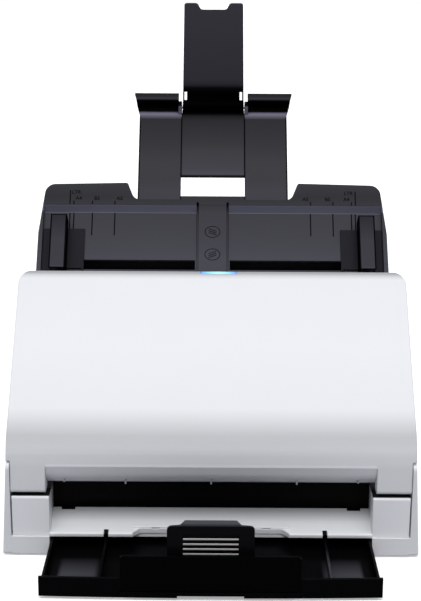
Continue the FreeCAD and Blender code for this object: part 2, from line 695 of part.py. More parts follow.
def pulley(y, z, x, bore):
    """Toothed belt pulley with two flanges, on the left side."""
    low, high = -x[1], -x[0]
    wheel = rod(PULLEY_R, (low, high), y, z)
    rims = [rod(PULLEY_R + 1.2, (low - 0.7, low), y, z), rod(PULLEY_R + 1.2, (high, high + 0.7), y, z)]
    wheel = join([wheel] + rims)
    teeth = 18
    for index in range(teeth):
        angle = 2.0 * math.pi * index / teeth
        groove_y = y + math.cos(angle) * (PULLEY_R + 0.15)
        groove_z = z + math.sin(angle) * (PULLEY_R + 0.15)
        wheel = wheel.cut(rod(0.45, (low, high), groove_y, groove_z))
    return wheel.cut(rod(bore, (low - 2.0, high + 2.0), y, z))


def roller_pulley(name):
    """Pulleys on one shaft; the scan shaft also takes the motor's belt."""
    a, n, _, _ = ROLLERS[name]
    y, z = path_point(a, n)
    wheels = [pulley(y, z, TRANSFER_X, SHAFT_R)]
    if name == "scan":
        wheels.append(pulley(y, z, DRIVE_X, SHAFT_R))
    return wheels


def belt(centres, x):
    """Belt loop round equal pulleys: the centres' outline grown by the pulley radius."""
    loop = Part.Wire(Part.makePolygon([FreeCAD.Vector(-x[1] + 0.3, *c) for c in centres + centres[:1]]))
    inner = PULLEY_R + BELT_GAP
    outside = Part.Face(loop.makeOffset2D(inner + BELT_T))
    inside = Part.Face(loop.makeOffset2D(inner))
    return outside.cut(inside).extrude(FreeCAD.Vector(x[1] - x[0] - 0.6, 0, 0))


def transfer_belt():
    """Belt that turns the four driven shafts together."""
    centres = [path_point(*ROLLERS[name][:2]) for name in ("feed", "registration", "scan", "eject")]
    ends = [centres[0], centres[1], centres[3]]
    return belt(ends, TRANSFER_X)


def drive_belt():
    """Belt from the motor to the scan shaft: two pulleys joined by straight runs."""
    scan = path_point(*ROLLERS["scan"][:2])
    low, high = -DRIVE_X[1] + 0.3, -DRIVE_X[0] - 0.3
    dy, dz = MOTOR_Y - scan[0], MOTOR_Z - scan[1]
    length = math.hypot(dy, dz)
    inner = PULLEY_R + BELT_GAP

    def loop(radius):
        run = box((low, high), (0.0, length), (-radius, radius))
        ends = [rod(radius, (low, high), 0.0, 0.0), rod(radius, (low, high), length, 0.0)]
        return join([run] + ends)

    shape = loop(inner + BELT_T).cut(loop(inner))
    shape.rotate(FreeCAD.Vector(0, 0, 0), FreeCAD.Vector(1, 0, 0), math.degrees(math.atan2(dz, dy)))
    shape.translate(FreeCAD.Vector(0, *scan))
    return shape


def motor():
    """Stepper motor body with its mounting plate."""
    can = rod(MOTOR_R, (-118.0, -86.0), MOTOR_Y, MOTOR_Z)
    boss = rod(8.6, (-121.0, -118.0), MOTOR_Y, MOTOR_Z)
    return join([can, boss]).cut(rod(2.0 + RUN_FIT, (-122.0, -90.0), MOTOR_Y, MOTOR_Z))


def motor_shaft():
    return rod(2.0, (-136.0, -90.4), MOTOR_Y, MOTOR_Z)


def motor_pulley():
    return pulley(MOTOR_Y, MOTOR_Z, DRIVE_X, 2.0)


def main_board():
    """Control board standing behind the drive."""
    return box((-112.0, 60.0), (224.0, 225.6), (20.0, 104.0))


def board_parts():
    """Chips and connectors on the control board."""
    chips = [
        box((-40.0, -12.0), (225.6, 228.0), (50.0, 78.0)),
        box((6.0, 24.0), (225.6, 227.4), (60.0, 72.0)),
        box((-84.0, -64.0), (225.6, 232.0), (70.0, 84.0)),
        box((30.0, 52.0), (225.6, 231.0), (30.0, 37.0)),
        box((-20.0, 4.0), (217.0, 224.0), (88.0, 95.0)),
    ]
    return chips


def sensor_cable():
    """Flat cable from the base sensor to the control board."""
    start = path_point(-90.0, -17.0)
    route = [start, (start[0] + 26.0, start[1] - 22.0), (150.0, 92.0), (204.0, 92.0), (216.6, 91.5)]
    return prism(ribbon(route, 0.5, 8.0), -18.0, 2.0)


def case_screws():
    """Screws that hold the pan to the housings."""
    return [screw(side * 131.0, y) for side in (1, -1) for y in (50.0, 140.0, 200.0)]


def screw(x, y):
    head = post(2.8, x, y, (FLOOR_Z + 1.6, FLOOR_Z + 3.4))
    shank = post(1.4, x, y, (FLOOR_Z + 3.4, FLOOR_Z + 9.0))
    return join([head, shank])


# ---- feed tray ----------------------------------------------------------------------
def tray_outline():
    """Front outline of the feed tray, in x and a: two shoulders and a middle cut-out."""
    right = [
        (59.3, TRAY_GAP, 6.0), (64.7, TRAY_TOP + 0.9, 2.0), (TRAY_HALF - 4.5, TRAY_TOP - 0.6, 8.0),
        (TRAY_HALF - 0.2, 30.0), (TRAY_HALF, TRAY_LOW),
    ]
    left = [(-p[0],) + tuple(p[1:]) for p in right]
    return left[::-1] + right


def feed_tray():
    """Black feed tray: recessed panel, raised border and rim, slot and middle strip."""
    plate = prism(tray_outline(), -TRAY_PLATE, RIM_N, "z")
    recess = [
        (TRAY_LOW - 1.0, 0.0), (48.4, 0.0), (53.4, RIM_N), (53.4, RIM_N + 2.0),
        (TRAY_LOW - 1.0, RIM_N + 2.0),
    ]
    plate = plate.cut(prism(recess, -127.6, 127.6))
    strip = [(TRAY_LOW, -1.0), (STRIP_TOP, -1.0), (STRIP_TOP, RIM_N), (TRAY_LOW, STRIP_N)]
    plate = plate.fuse(prism(strip, -10.5, 10.5))
    for side in (1, -1):
        groove = box(span(10.5, 12.1, side), (TRAY_LOW - 1.0, STRIP_TOP), (-0.9, 5.0))
        plate = plate.cut(groove)
        plate = plate.cut(box(span(13.0, 127.0, side), (SLOT_LOW, SLOT_HIGH), (-9.0, 5.0)))
    stud = post(2.4, 0.0, RACK_MID_A, (RACK_LOW_N - 0.5, -2.0))
    for x in (-116.5, 116.5):
        plate = plate.cut(box((x - 3.2, x + 3.2), (TRAY_LOW - 1.0, -10.0), (-9.0, 5.0)))
    return lean(join([plate, stud]))


def tray_back():
    """Rear shell of the feed tray, which hides the racks and the drawn-in extension."""
    inner = [(a, n + 1.1) for a, n in TRAY_BACK_LINE]
    wall = ribbon(inner + [(TRAY_BACK_LINE[-1][0], -TRAY_PLATE)], 2.2, 3.0)
    skin = prism(wall, -TRAY_HALF + 0.6, TRAY_HALF - 0.6)
    end = [(TRAY_LOW, -2.8), (67.6, -2.8), (67.4, -8.6), (16.0, -30.4), (TRAY_LOW, -33.2)]
    ends = [prism(end, *span(TRAY_HALF - 2.8, TRAY_HALF - 0.6, side)) for side in (1, -1)]
    silhouette = tray_outline()
    silhouette[0] = (-TRAY_HALF, -60.0)
    silhouette[-1] = (TRAY_HALF, -60.0)
    shell = join([skin] + ends).common(prism(silhouette, -60.0, 5.0, "z"))
    below = box((-150.0, 150.0), (0.0, 300.0), (0.0, 146.0))
    return lean(shell).cut(below)


def guide_rack(side):
    """Toothed rack fixed to a document guide, on one side of the pinion."""
    pitch = math.pi * GEAR_MODULE
    mid = RACK_MID_A + side * 0.5 * PINION_TEETH * GEAR_MODULE
    back = mid + side * 4.6
    low, high = sorted((mid + side * 1.0, back))
    inner, outer = -16.0, 104.0
    bar = box((inner, outer), (low, high), (RACK_LOW_N, RACK_TOP))
    teeth = []
    count = int((outer - 2.0 - inner) / pitch)
    for index in range(-5, count - 5):
        x = (index + 0.5) * pitch
        if x - 1.3 < inner or x + 1.3 > outer:
            continue
        root, tip = mid + side * 1.2, mid - side * 0.75
        tooth = [(x - 1.12, root), (x - 0.42, tip), (x + 0.42, tip), (x + 1.12, root)]
        teeth.append(prism(tooth, RACK_LOW_N, RACK_TOP, "z"))
    return join([bar] + teeth)


def document_guide(side):
    """Document guide: foot, paper wall and outward flange, with its rack below."""
    foot = box((96.0, 127.2), (-10.0, 34.3), (0.15, 1.2))
    fin = box((GUIDE_FACE, GUIDE_FACE + 1.8), (-5.4, 41.2), (0.9, 12.4))
    flange = box((GUIDE_FACE, 120.9), (-1.8, 41.2), (11.0, 12.4))
    neck = box((100.0, 112.0), (SLOT_LOW + 0.5, SLOT_HIGH - 0.5), (RACK_LOW_N, 0.5))
    notch = box((97.4, GUIDE_FACE - 0.2), (-11.0, 2.0), (0.0, 1.6))
    low, high = sorted((RACK_MID_A + side * 3.2, RACK_MID_A + side * 12.6))
    tie = box((100.0, 106.0), (low, high), (RACK_LOW_N, RACK_TOP))
    guide = join([foot.cut(notch), fin, flange, neck, tie, guide_rack(side)])
    return lean(guide if side > 0 else mirrored(guide))


def guide_pinion():
    """Pinion between the two racks, which keeps the guides centred."""
    pitch_r = 0.5 * PINION_TEETH * GEAR_MODULE
    root_r, tip_r = pitch_r - 1.15, pitch_r + 0.75
    teeth = []
    for index in range(PINION_TEETH):
        tooth = [(root_r - 0.6, -1.0), (pitch_r, -0.60, 1.0), (tip_r, -0.32), (tip_r, 0.32),
                 (pitch_r, 0.60, 1.0), (root_r - 0.6, 1.0)]
        shape = prism(tooth, RACK_LOW_N, RACK_TOP, "z")
        shape.rotate(FreeCAD.Vector(0, 0, 0), FreeCAD.Vector(0, 0, 1), 360.0 * index / PINION_TEETH)
        teeth.append(shape)
    wheel = join([post(root_r, 0.0, 0.0, (RACK_LOW_N, RACK_TOP))] + teeth)
    wheel = wheel.cut(post(2.4 + RUN_FIT, 0.0, 0.0, (-20.0, 20.0)))
    wheel.translate(FreeCAD.Vector(0, RACK_MID_A, 0))
    return lean(wheel)


# ---- tray extension and flip-up support ---------------------------------------------
def tray_extension():
    """Sliding extension: two runners, a middle panel, a grooved shoulder and a lip."""
    mid = EXT_TOP - 0.5 * EXT_PLATE
    wing_line = [(EXT_FOOT, mid), (EXT_SHOULDER, mid), (142.0, -13.6), (147.4, -13.6),
                 (149.2, mid + 0.4), (155.2, mid + 0.4)]
    wing_side = prism(ribbon(wing_line, EXT_PLATE, 2.2), -80.0, 80.0)
    wing_front = [
        (EXT_INNER, EXT_FOOT), (EXT_HALF, EXT_FOOT), (EXT_HALF, 138.0, 8.0), (62.2, 156.0, 1.2),
        (27.1, 156.0, 1.0), (27.1, 139.0), (EXT_INNER, 139.0),
    ]
    wing = wing_side.common(prism(wing_front, -30.0, 10.0, "z"))
    panel = box((-EXT_INNER - 0.5, EXT_INNER + 0.5), (83.0, 139.0), (mid - 2.4, mid - 0.4))
    bar = box((-EXT_INNER - 0.5, EXT_INNER + 0.5), (54.0, 65.5), (mid - 1.2, mid + 1.2))
    cheek = [(136.0, mid - 1.2), (136.0, mid + 0.8), (140.0, -2.6, 3.0), (147.0, -2.8, 3.0),
             (148.8, -12.0, 2.0), (142.0, -13.6, 1.0)]
    parts = both(wing) + [panel, bar] + both(prism(cheek, EXT_INNER, EXT_INNER + 2.6))
    bore = rod(1.5, (-40.0, 40.0), FLIP_A, FLIP_N)
    extension = join(parts).cut(rod(5.2, (-24.5, 24.5), FLIP_A, FLIP_N))
    return lean(extension.cut(bore))


def flip_pin():
    """Hinge pin of the flip-up support."""
    return lean(rod(1.5, (-EXT_INNER - 2.6, EXT_INNER + 2.6), FLIP_A, FLIP_N))


def flip_support():
    """Flip-up paper support with its hinge barrel, slots and notched top."""
    front = [
        (-FLIP_HALF, FLIP_A - 1.0), (FLIP_HALF, FLIP_A - 1.0), (FLIP_HALF, FLIP_TOP, 2.2),
        (13.2, FLIP_TOP, 3.0), (10.4, FLIP_TOP - 6.2, 3.0), (-10.4, FLIP_TOP - 6.2, 3.0),
        (-13.2, FLIP_TOP, 3.0), (-FLIP_HALF, FLIP_TOP, 2.2),
    ]
    line = [(FLIP_A, FLIP_N - 2.8), (FLIP_A + 9.0, FLIP_N - 2.8), (FLIP_A + 17.0, FLIP_N - 1.2),
            (FLIP_TOP + 4.0, FLIP_N - 1.2)]
    sheet = prism(ribbon(line, 2.2, 7.0), -40.0, 40.0).common(prism(front, -30.0, 10.0, "z"))
    barrel = rod(4.2, (-FLIP_HALF, FLIP_HALF), FLIP_A, FLIP_N)
    support = join([sheet, barrel])
    for side in (1, -1):
        support = support.cut(box(span(20.8, 22.8, side), (150.8, 158.6), (-30.0, 10.0)))
    return lean(support.cut(rod(1.5 + RUN_FIT, (-30.0, 30.0), FLIP_A, FLIP_N)))


# ---- eject tray ---------------------------------------------------------------------
def eject_tray():
    """Black drawer tray with a bowed front wall, side walls and two ribs."""
    front = EJECT_FRONT
    floor = box((-110.8, 110.8), (front + 2.0, EJECT_BACK), (3.6, 5.2))
    left_end = FreeCAD.Vector(-EJECT_HALF, front, EJECT_WALL[0])
    bow = FreeCAD.Vector(0.0, front - EJECT_BOW, EJECT_WALL[0])
    right_end = FreeCAD.Vector(EJECT_HALF, front, EJECT_WALL[0])
    inner_right = FreeCAD.Vector(EJECT_HALF, front + 2.4, EJECT_WALL[0])
    inner_left = FreeCAD.Vector(-EJECT_HALF, front + 2.4, EJECT_WALL[0])
    inner_bow = FreeCAD.Vector(0.0, front + 2.4 - EJECT_BOW, EJECT_WALL[0])
    rim = Part.Wire([
        Part.Arc(left_end, bow, right_end).toShape(), Part.makeLine(right_end, inner_right),
        Part.Arc(inner_right, inner_bow, inner_left).toShape(), Part.makeLine(inner_left, left_end),
    ])
    wall = Part.Face(rim).extrude(FreeCAD.Vector(0, 0, EJECT_WALL[1] - EJECT_WALL[0]))
    parts = [floor, wall]
    for side in (1, -1):
        parts.append(box(span(110.0, 111.8, side), (front + 1.8, EJECT_BACK), (3.6, 13.2)))
    for x in RIB_X:
        parts.append(box((x - 0.8, x + 0.8), (front + 1.8, EJECT_BACK), (5.0, 12.6)))
    tray = join(parts)
    gate = box((-EXT_WALL_HALF - 0.5, EXT_WALL_HALF + 0.5), (-80.0, front + 3.0), (5.6, 20.0))
    tray = tray.cut(gate)
    return tray.cut(box((-22.0, 22.0), (-80.0, front + 1.2), (0.0, 3.4)))


def eject_extension():
    """Inner drawer with the tall front wall that is pulled out for long sheets."""
    front = EJECT_FRONT - 1.2
    floor = box((-56.0, 56.0), (front + 2.0, 50.0), (6.2, 7.8))
    wall = [
        (-EXT_WALL_HALF, 6.2), (EXT_WALL_HALF, 6.2), (EXT_WALL_HALF, EXT_WALL_TOP, 2.6),
        (-EXT_WALL_HALF, EXT_WALL_TOP, 2.6),
    ]
    plate = prism(wall, front, front + 2.2, "y")
    ears = [box(span(30.0, 32.4, side), (STOPPER_Y - 3.6, STOPPER_Y + 4.0), (7.0, 13.0))
            for side in (1, -1)]
    tray = join([floor, plate] + ears)
    return tray.cut(rod(1.2 + RUN_FIT, (-34.0, 34.0), STOPPER_Y, STOPPER_HINGE_Z))


def eject_stopper():
    """Flip-down end stop with four slats and a bevelled head."""
    axis_z = STOPPER_HINGE_Z
    face = [
        (-28.8, axis_z - 1.4, 0.8), (28.8, axis_z - 1.4, 0.8), (28.8, 49.0, 3.0),
        (20.0, 49.8, 2.0), (17.0, STOPPER_TOP, 1.0), (-17.0, STOPPER_TOP, 1.0),
        (-20.0, 49.8, 2.0), (-28.8, 49.0, 3.0),
    ]
    plate = prism(face, STOPPER_Y - 1.1, STOPPER_Y + 1.1, "y")
    bevel = [(STOPPER_Y - 2.0, 49.8), (STOPPER_Y - 2.0, STOPPER_TOP + 1.0),
             (STOPPER_Y + 1.3, STOPPER_TOP + 1.0)]
    plate = plate.cut(prism(bevel, -30.0, 30.0))
    for z in (40.4, 36.8, 33.3, 29.7):
        slot = box((-18.4, 18.4), (STOPPER_Y - 3.0, STOPPER_Y - 0.3), (z + 0.5, z + 3.0))
        plate = plate.cut(slot)
    barrel = rod(2.3, (-29.2, 29.2), STOPPER_Y, axis_z)
    pins = rod(1.2, (-31.8, 31.8), STOPPER_Y, axis_z)
    return join([plate, barrel, pins])


# ---- the object ---------------------------------------------------------------------
def build():
    """Every node's shape; a list is a node of several separate solids."""
    nodes = {
        "front_cover": front_cover(),
        "status_light": status_light(),
        "inner_guide": inner_guide(),
        "upper_sensor": upper_sensor(),
        "upper_sensor_glass": upper_sensor_glass(),
        "retard_tyres": retard_roller(),
        "retard_shaft": retard_shaft(),
        "retard_holder": retard_holder(),
        "latch_shaft": latch_shaft(),
        "latch_arms": [latch_arm(-1), latch_arm(1)],
        "open_lever": open_lever(),
        "start_button": top_button(BUTTON_X[0]),
        "stop_button": top_button(BUTTON_X[1]),
        "hinge_pins": hinge_pins(),
        "rear_cover": rear_cover(),
        "power_jack": power_jack(),
        "usb_port": usb_port(),
        "power_button": power_button(),
        "base_pan": base_pan(),
        "feet": feet(),
        "exit_guide": exit_guide(),
        "chassis": chassis(),
        "shaft_bushes": shaft_bushes(),
        "lower_guide": lower_guide(),
        "lower_sensor": lower_sensor(),
        "lower_sensor_glass": lower_sensor_glass(),
        "sensor_bracket": sensor_bracket(),
        "transfer_belt": transfer_belt(),
        "drive_belt": drive_belt(),
        "motor": motor(),
        "motor_rotor": [motor_shaft(), motor_pulley()],
        "main_board": [main_board()] + board_parts(),
        "sensor_cable": sensor_cable(),
        "case_screws": case_screws(),
        "feed_tray": feed_tray(),
        "tray_back": tray_back(),
        "guide_pinion": guide_pinion(),
        "tray_extension": tray_extension(),
        "flip_pin": flip_pin(),
        "flip_support": flip_support(),
        "eject_tray": eject_tray(),
        "eject_extension": eject_extension(),
        "eject_stopper": eject_stopper(),
    }
    for name in ROLLERS:
        nodes[name + "_shaft"] = [roller_shaft(name)] + roller_pulley(name)
        nodes[name + "_tyres"] = roller_tyres(name)
    for name in PINCHED:
        nodes[name + "_pinch"] = [pinch_shaft(name)] + pinch_rollers(name)
    for word, side in (("left", -1), ("right", 1)):
        nodes["side_cover_" + word] = side_cover(side)
        nodes["side_frame_" + word] = side_frame(side)
        nodes["guide_" + word] = document_guide(side)
    return nodes


def origin_shift(shapes):
    """Move that puts the origin under the middle of the whole object."""
    bounds = FreeCAD.BoundBox()
    for shape in shapes.values():
        bounds.add(shape.BoundBox)
    centre = bounds.Center
    return FreeCAD.Vector(-centre.x, -centre.y, -bounds.ZMin)


def main():
    os.makedirs("parts", exist_ok=True)
    shapes = {}
    for name, shape in build().items():
        shapes[name] = Part.makeCompound(shape) if isinstance(shape, list) else shape
    shift = origin_shift(shapes)
    for name, shape in shapes.items():
        shape.translate(shift)
        shape.exportStep("parts/" + name + ".step")
    print("nodes", len(shapes), "shift", [round(v, 3) for v in shift])


if __name__ == "__main__":
    main()
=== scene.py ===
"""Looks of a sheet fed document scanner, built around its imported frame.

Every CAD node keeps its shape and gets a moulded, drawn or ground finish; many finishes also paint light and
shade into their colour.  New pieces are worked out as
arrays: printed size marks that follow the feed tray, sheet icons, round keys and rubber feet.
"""
import json
import logging
import math
from dataclasses import dataclass, field
from enum import Enum
from typing import Any, Callable, Protocol

import bpy
import numpy as np
from mathutils import Euler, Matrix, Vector

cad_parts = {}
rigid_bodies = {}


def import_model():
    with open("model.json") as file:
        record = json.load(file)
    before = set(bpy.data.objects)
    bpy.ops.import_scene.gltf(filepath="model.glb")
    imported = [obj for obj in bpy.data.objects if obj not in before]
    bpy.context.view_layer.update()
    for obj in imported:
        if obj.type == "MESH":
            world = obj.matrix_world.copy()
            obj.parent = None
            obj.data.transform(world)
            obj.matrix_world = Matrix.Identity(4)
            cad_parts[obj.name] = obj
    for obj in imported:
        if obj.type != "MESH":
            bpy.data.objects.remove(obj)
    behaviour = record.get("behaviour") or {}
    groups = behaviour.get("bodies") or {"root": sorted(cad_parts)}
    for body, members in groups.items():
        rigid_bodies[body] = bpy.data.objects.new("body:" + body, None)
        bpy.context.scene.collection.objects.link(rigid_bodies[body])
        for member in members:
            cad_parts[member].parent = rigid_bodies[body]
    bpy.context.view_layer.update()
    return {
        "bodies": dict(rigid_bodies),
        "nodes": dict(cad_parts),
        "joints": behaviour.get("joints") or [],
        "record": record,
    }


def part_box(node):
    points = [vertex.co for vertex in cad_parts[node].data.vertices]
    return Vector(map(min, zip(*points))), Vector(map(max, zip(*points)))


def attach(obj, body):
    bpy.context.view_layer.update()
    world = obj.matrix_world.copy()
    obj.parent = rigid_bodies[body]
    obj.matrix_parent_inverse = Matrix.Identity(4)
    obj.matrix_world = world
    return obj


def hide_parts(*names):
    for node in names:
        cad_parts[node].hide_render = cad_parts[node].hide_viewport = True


LOG = logging.getLogger("scanner")
MM = 0.001
PINION_A, PINION_N = 5.4, -4.0  # the guides' pinion on the slope, millimetres
Colour = tuple[float, float, float]


class Side(Enum):
    """Left and right halves of the machine, seen from the front."""

    LEFT = -1
    RIGHT = 1


class Glyph(Enum):
    """Generic signs for the round keys."""

    START = "start"
    STOP = "stop"
    POWER = "power"


# ---- places on the leaning paper path ---------------------------------------------------
@dataclass(frozen=True)
class Slope:
    """Plane of the leaning paper path: x to the right, a up the plane, n out of it, in millimetres."""

    foot: Vector
    along: Vector
    out: Vector

    @classmethod
    def from_joints(cls, joints: list[dict[str, Any]]) -> "Slope":
        """Find the plane from the pinion's axis and the extension's slide.

        Args:
            joints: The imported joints.

        Returns:
            The plane, with its origin at the foot of the feed tray.
        """
        named = {joint["name"]: joint for joint in joints}
        pinion = named["guide_pinion_spin"]
        out = Vector(pinion["axis"])
        along = -Vector(named["tray_extension_slide"]["axis"])
        foot = Vector(pinion["pos_m"]) - along * PINION_A * MM - out * PINION_N * MM
        return cls(foot, along, out)

    def at(self, x: np.ndarray, a: np.ndarray, n: np.ndarray) -> np.ndarray:
        """Row-frame places of (x, a, n) arrays: foot + x * X + a * along + n * out.

        Args:
            x: Across the machine, millimetres.
            a: Up the plane, millimetres.
            n: Out of the plane, millimetres.

        Returns:
            Array of shape (..., 3) in metres.
        """
        x, a, n = np.broadcast_arrays(np.asarray(x, float), a, n)
        base = np.array(self.foot)
        axes = np.array([[1.0, 0.0, 0.0], list(self.along), list(self.out)])
        return base + MM * np.stack([x, a, n], axis=-1) @ axes


# ---- surfaces ---------------------------------------------------------------------------
def grid_quads(rows: int, columns: int, wrap: bool = False) -> np.ndarray:
    """Quads of a grid whose points are numbered row by row.

    Args:
        rows: Number of rows of points.
        columns: Number of points in a row.
        wrap: Close each row on itself.

    Returns:
        Array of shape (faces, 4).
    """
    down = np.arange(rows - 1)[:, None] * columns
    across = np.arange(columns if wrap else columns - 1)[None, :]
    following = (across + 1) % columns
    corners = (down + across, down + following, down + columns + following, down + columns + across)
    return np.stack([c.ravel() for c in corners], axis=1)


def make_object(name: str, points: np.ndarray, faces: list, smooth_deg: float = 35.0) -> bpy.types.Object:
    """Put points and faces into a new mesh object at the origin.

    Args:
        name: Piece name.
        points: Array of shape (count, 3), metres.
        faces: Vertex numbers of each face, wound so that it faces outwards.
        smooth_deg: Edges that turn less than this are smooth.

    Returns:
        The new object.
    """
    mesh = bpy.data.meshes.new(name)
    mesh.from_pydata(points.tolist(), [], [list(map(int, face)) for face in faces])
    mesh.validate()
    mesh.shade_smooth()
    mesh.set_sharp_from_angle(angle=math.radians(smooth_deg))
    piece = bpy.data.objects.new(name, mesh)
    bpy.context.scene.collection.objects.link(piece)
    return piece


def closed_sweep(rings: np.ndarray) -> tuple[np.ndarray, list]:
    """Skin over rings of points, with a flat cap at each end.

    Args:
        rings: Array of shape (rings, points, 3); the points run anticlockwise seen from the far end.

    Returns:
        Points of shape (count, 3) and the faces.
    """
    count, around = rings.shape[:2]
    faces = grid_quads(count, around, wrap=True).tolist()
    faces.append(list(range(around))[::-1])
    faces.append([(count - 1) * around + i for i in range(around)])
    return rings.reshape(-1, 3), faces


def closed_band(rings: np.ndarray) -> tuple[np.ndarray, list]:
    """Skin over rings of points whose last ring joins the first.

    Args:
        rings: Array of shape (rings, points, 3); the points run anticlockwise seen from the ring before.

    Returns:
        Points of shape (count, 3) and the faces.
    """
    count, around = rings.shape[:2]
    faces = grid_quads(count + 1, around, wrap=True) % (count * around)
    return rings.reshape(-1, 3), faces[:, ::-1].tolist()


def prism(low_x: float, high_x: float, outline: np.ndarray) -> tuple[np.ndarray, list]:
    """Prism along x over an outline of (y, z) points; all in millimetres, the result in metres."""
    ring = np.empty((2, len(outline), 3))
    ring[..., 0] = np.array([low_x, high_x])[:, None]
    ring[..., 1:] = outline
    return closed_sweep(ring * MM)


def lathe(profile: np.ndarray, segments: int = 48) -> tuple[np.ndarray, list]:
    """Turned shape: each (radius, height) point of the profile becomes a ring about the height axis.

    Args:
        profile: Array of shape (count, 2) from the foot's centre to the crown's centre, radii above 0.
        segments: Points around.

    Returns:
        Points as (u, v, height) and the faces.
    """
    angle = np.linspace(0.0, 2.0 * math.pi, segments, endpoint=False)
    circle = np.stack([np.cos(angle), np.sin(angle)], axis=1)
    rings = np.empty((len(profile), segments, 3))
    rings[..., :2] = profile[:, None, :1] * circle[None]
    rings[..., 2] = profile[:, None, 1]
    return closed_sweep(rings)


def rounded(corners: list[tuple[float, float]], radius: float, steps: int = 5) -> np.ndarray:
    """Open outline with its inner corners rounded: each corner becomes a quadratic arc.

    Args:
        corners: (u, v) corners.
        radius: Distance from a corner at which its arc starts.
        steps: Points on each arc.

    Returns:
        Array of shape (count, 2).
    """
    line = np.array(corners, float)
    before, corner, after = line[:-2], line[1:-1], line[2:]
    back = before - corner
    ahead = after - corner
    reach = np.minimum(radius, 0.49 * np.minimum(np.linalg.norm(back, axis=1), np.linalg.norm(ahead, axis=1)))
    start = corner + back / np.linalg.norm(back, axis=1)[:, None] * reach[:, None]
    end = corner + ahead / np.linalg.norm(ahead, axis=1)[:, None] * reach[:, None]
    t = np.linspace(0.0, 1.0, steps)[None, :, None]
    arcs = (1 - t) ** 2 * start[:, None] + 2 * t * (1 - t) * corner[:, None] + t**2 * end[:, None]
    return np.vstack([line[:1], arcs.reshape(-1, 2), line[-1:]])


def merged(parts: list[tuple[np.ndarray, list]]) -> tuple[np.ndarray, list]:
    """Several sets of points and faces as one.

    Args:
        parts: (points, faces) of each shape.

    Returns:
        All points and all faces, renumbered.
    """
    points, faces, start = [], [], 0
    for part_points, part_faces in parts:
        points.append(part_points)
        faces.extend([[start + int(i) for i in face] for face in part_faces])
        start += len(part_points)
    return np.vstack(points), faces


# ---- finishes ---------------------------------------------------------------------------
class Tree:
    """Node tree of one material, with short calls for the nodes that the finishes share."""

    def __init__(self, name: str) -> None:
        """Start an empty material called name."""
        self.material = bpy.data.materials.new(name)
        self.material.use_nodes = True
        self.nodes = self.material.node_tree.nodes
        self.nodes.clear()
        self.place = self.add("ShaderNodeTexCoord").outputs["Object"]

    def add(self, kind: str, sockets: dict[str, Any] | None = None, **settings: Any) -> bpy.types.Node:
        """Add a node.

        Args:
            kind: Blender's name for the node type.
            sockets: Input name to a value or to another node's output.
            settings: Properties of the node itself.

        Returns:
            The node.
        """
        node = self.nodes.new(kind)
        for key, value in settings.items():
            setattr(node, key, value)
        for key, value in (sockets or {}).items():
            socket = node.inputs[key]
            if isinstance(value, bpy.types.NodeSocket):
                self.material.node_tree.links.new(value, socket)
            else:
                socket.default_value = value
        return node

    def stretched(self, scale: Colour, shift: Colour = (0, 0, 0)) -> Any:
        """Object coordinates times scale, after a shift."""
        node = self.add("ShaderNodeMapping", {"Vector": self.place, "Location": shift, "Scale": scale})
        return node.outputs["Vector"]

    def sum(self, operation: str, *values: Any) -> Any:
        """Result of an arithmetic node."""
        return self.add("ShaderNodeMath", dict(enumerate(values)), operation=operation).outputs["Value"]

    def stripes(self, pitch_mm: float) -> Any:
        """Bands along x, one for each pitch."""
        sockets = {"Vector": self.place, "Scale": 0.314 / (pitch_mm * MM)}
        return self.add("ShaderNodeTexWave", sockets, bands_direction="X").outputs["Fac"]

    def noise(self, grain_mm: float, detail: float = 2.0, vector: Any = None) -> Any:
        """Noise height whose lumps are about grain_mm across."""
        sockets = {"Vector": vector or self.place, "Scale": 1.0 / (grain_mm * MM), "Detail": detail}
        return self.add("ShaderNodeTexNoise", sockets).outputs["Fac"]

    def ramp(self, value: Any, low: float, high: float) -> Any:
        """Map a 0 to 1 value onto low to high."""
        sockets = {"Value": value, "To Min": low, "To Max": high}
        return self.add("ShaderNodeMapRange", sockets).outputs["Result"]

    def blend(self, factor: Any, first: Any, second: Any) -> Any:
        """Mix two colours; a plain colour is given as RGBA."""
        node = self.add("ShaderNodeMix", data_type="RGBA")
        for index, value in ((0, factor), (6, first), (7, second)):
            if isinstance(value, bpy.types.NodeSocket):
                self.material.node_tree.links.new(value, node.inputs[index])
            else:
                node.inputs[index].default_value = value
        return node.outputs[2]

    def relief(self, height: Any, depth_mm: float, strength: float = 1.0, under: Any = None) -> Any:
        """Normal of a height pattern depth_mm deep, over another normal if one is given."""
        sockets = {"Height": height, "Distance": depth_mm * MM, "Strength": strength}
        if under is not None:
            sockets["Normal"] = under
        return self.add("ShaderNodeBump", sockets).outputs["Normal"]

    def soft_edge(self, radius_mm: float) -> Any:
        """Normal that rounds sharp edges over radius_mm."""
        return self.add("ShaderNodeBevel", {"Radius": radius_mm * MM}, samples=6).outputs["Normal"]

    def close(self, sockets: dict[str, Any]) -> bpy.types.Material:
        """Finish with a Principled surface that has these sockets.

        Args:
            sockets: Input name to value or output.

        Returns:
            The finished material.
        """
        surface = self.add("ShaderNodeBsdfPrincipled", sockets)
        self.add("ShaderNodeOutputMaterial", {"Surface": surface.outputs["BSDF"]})
        return self.material


class Finish(Protocol):
    """Anything that can make a material."""

    def build(self) -> bpy.types.Material:
        """Make the material."""


def rgba(colour: Colour, shade: float = 1.0) -> tuple[float, float, float, float]:
    """Linear RGBA of an sRGB colour given as 0 to 255, times a shade."""
    tone = (np.array(colour) / 255.0 + 0.055) / 1.055
    linear = np.where(np.array(colour) / 255.0 <= 0.04045, np.array(colour) / 255.0 / 12.92, tone**2.4)
    red, green, blue = (float(v) for v in linear * shade)
    return red, green, blue, 1.0


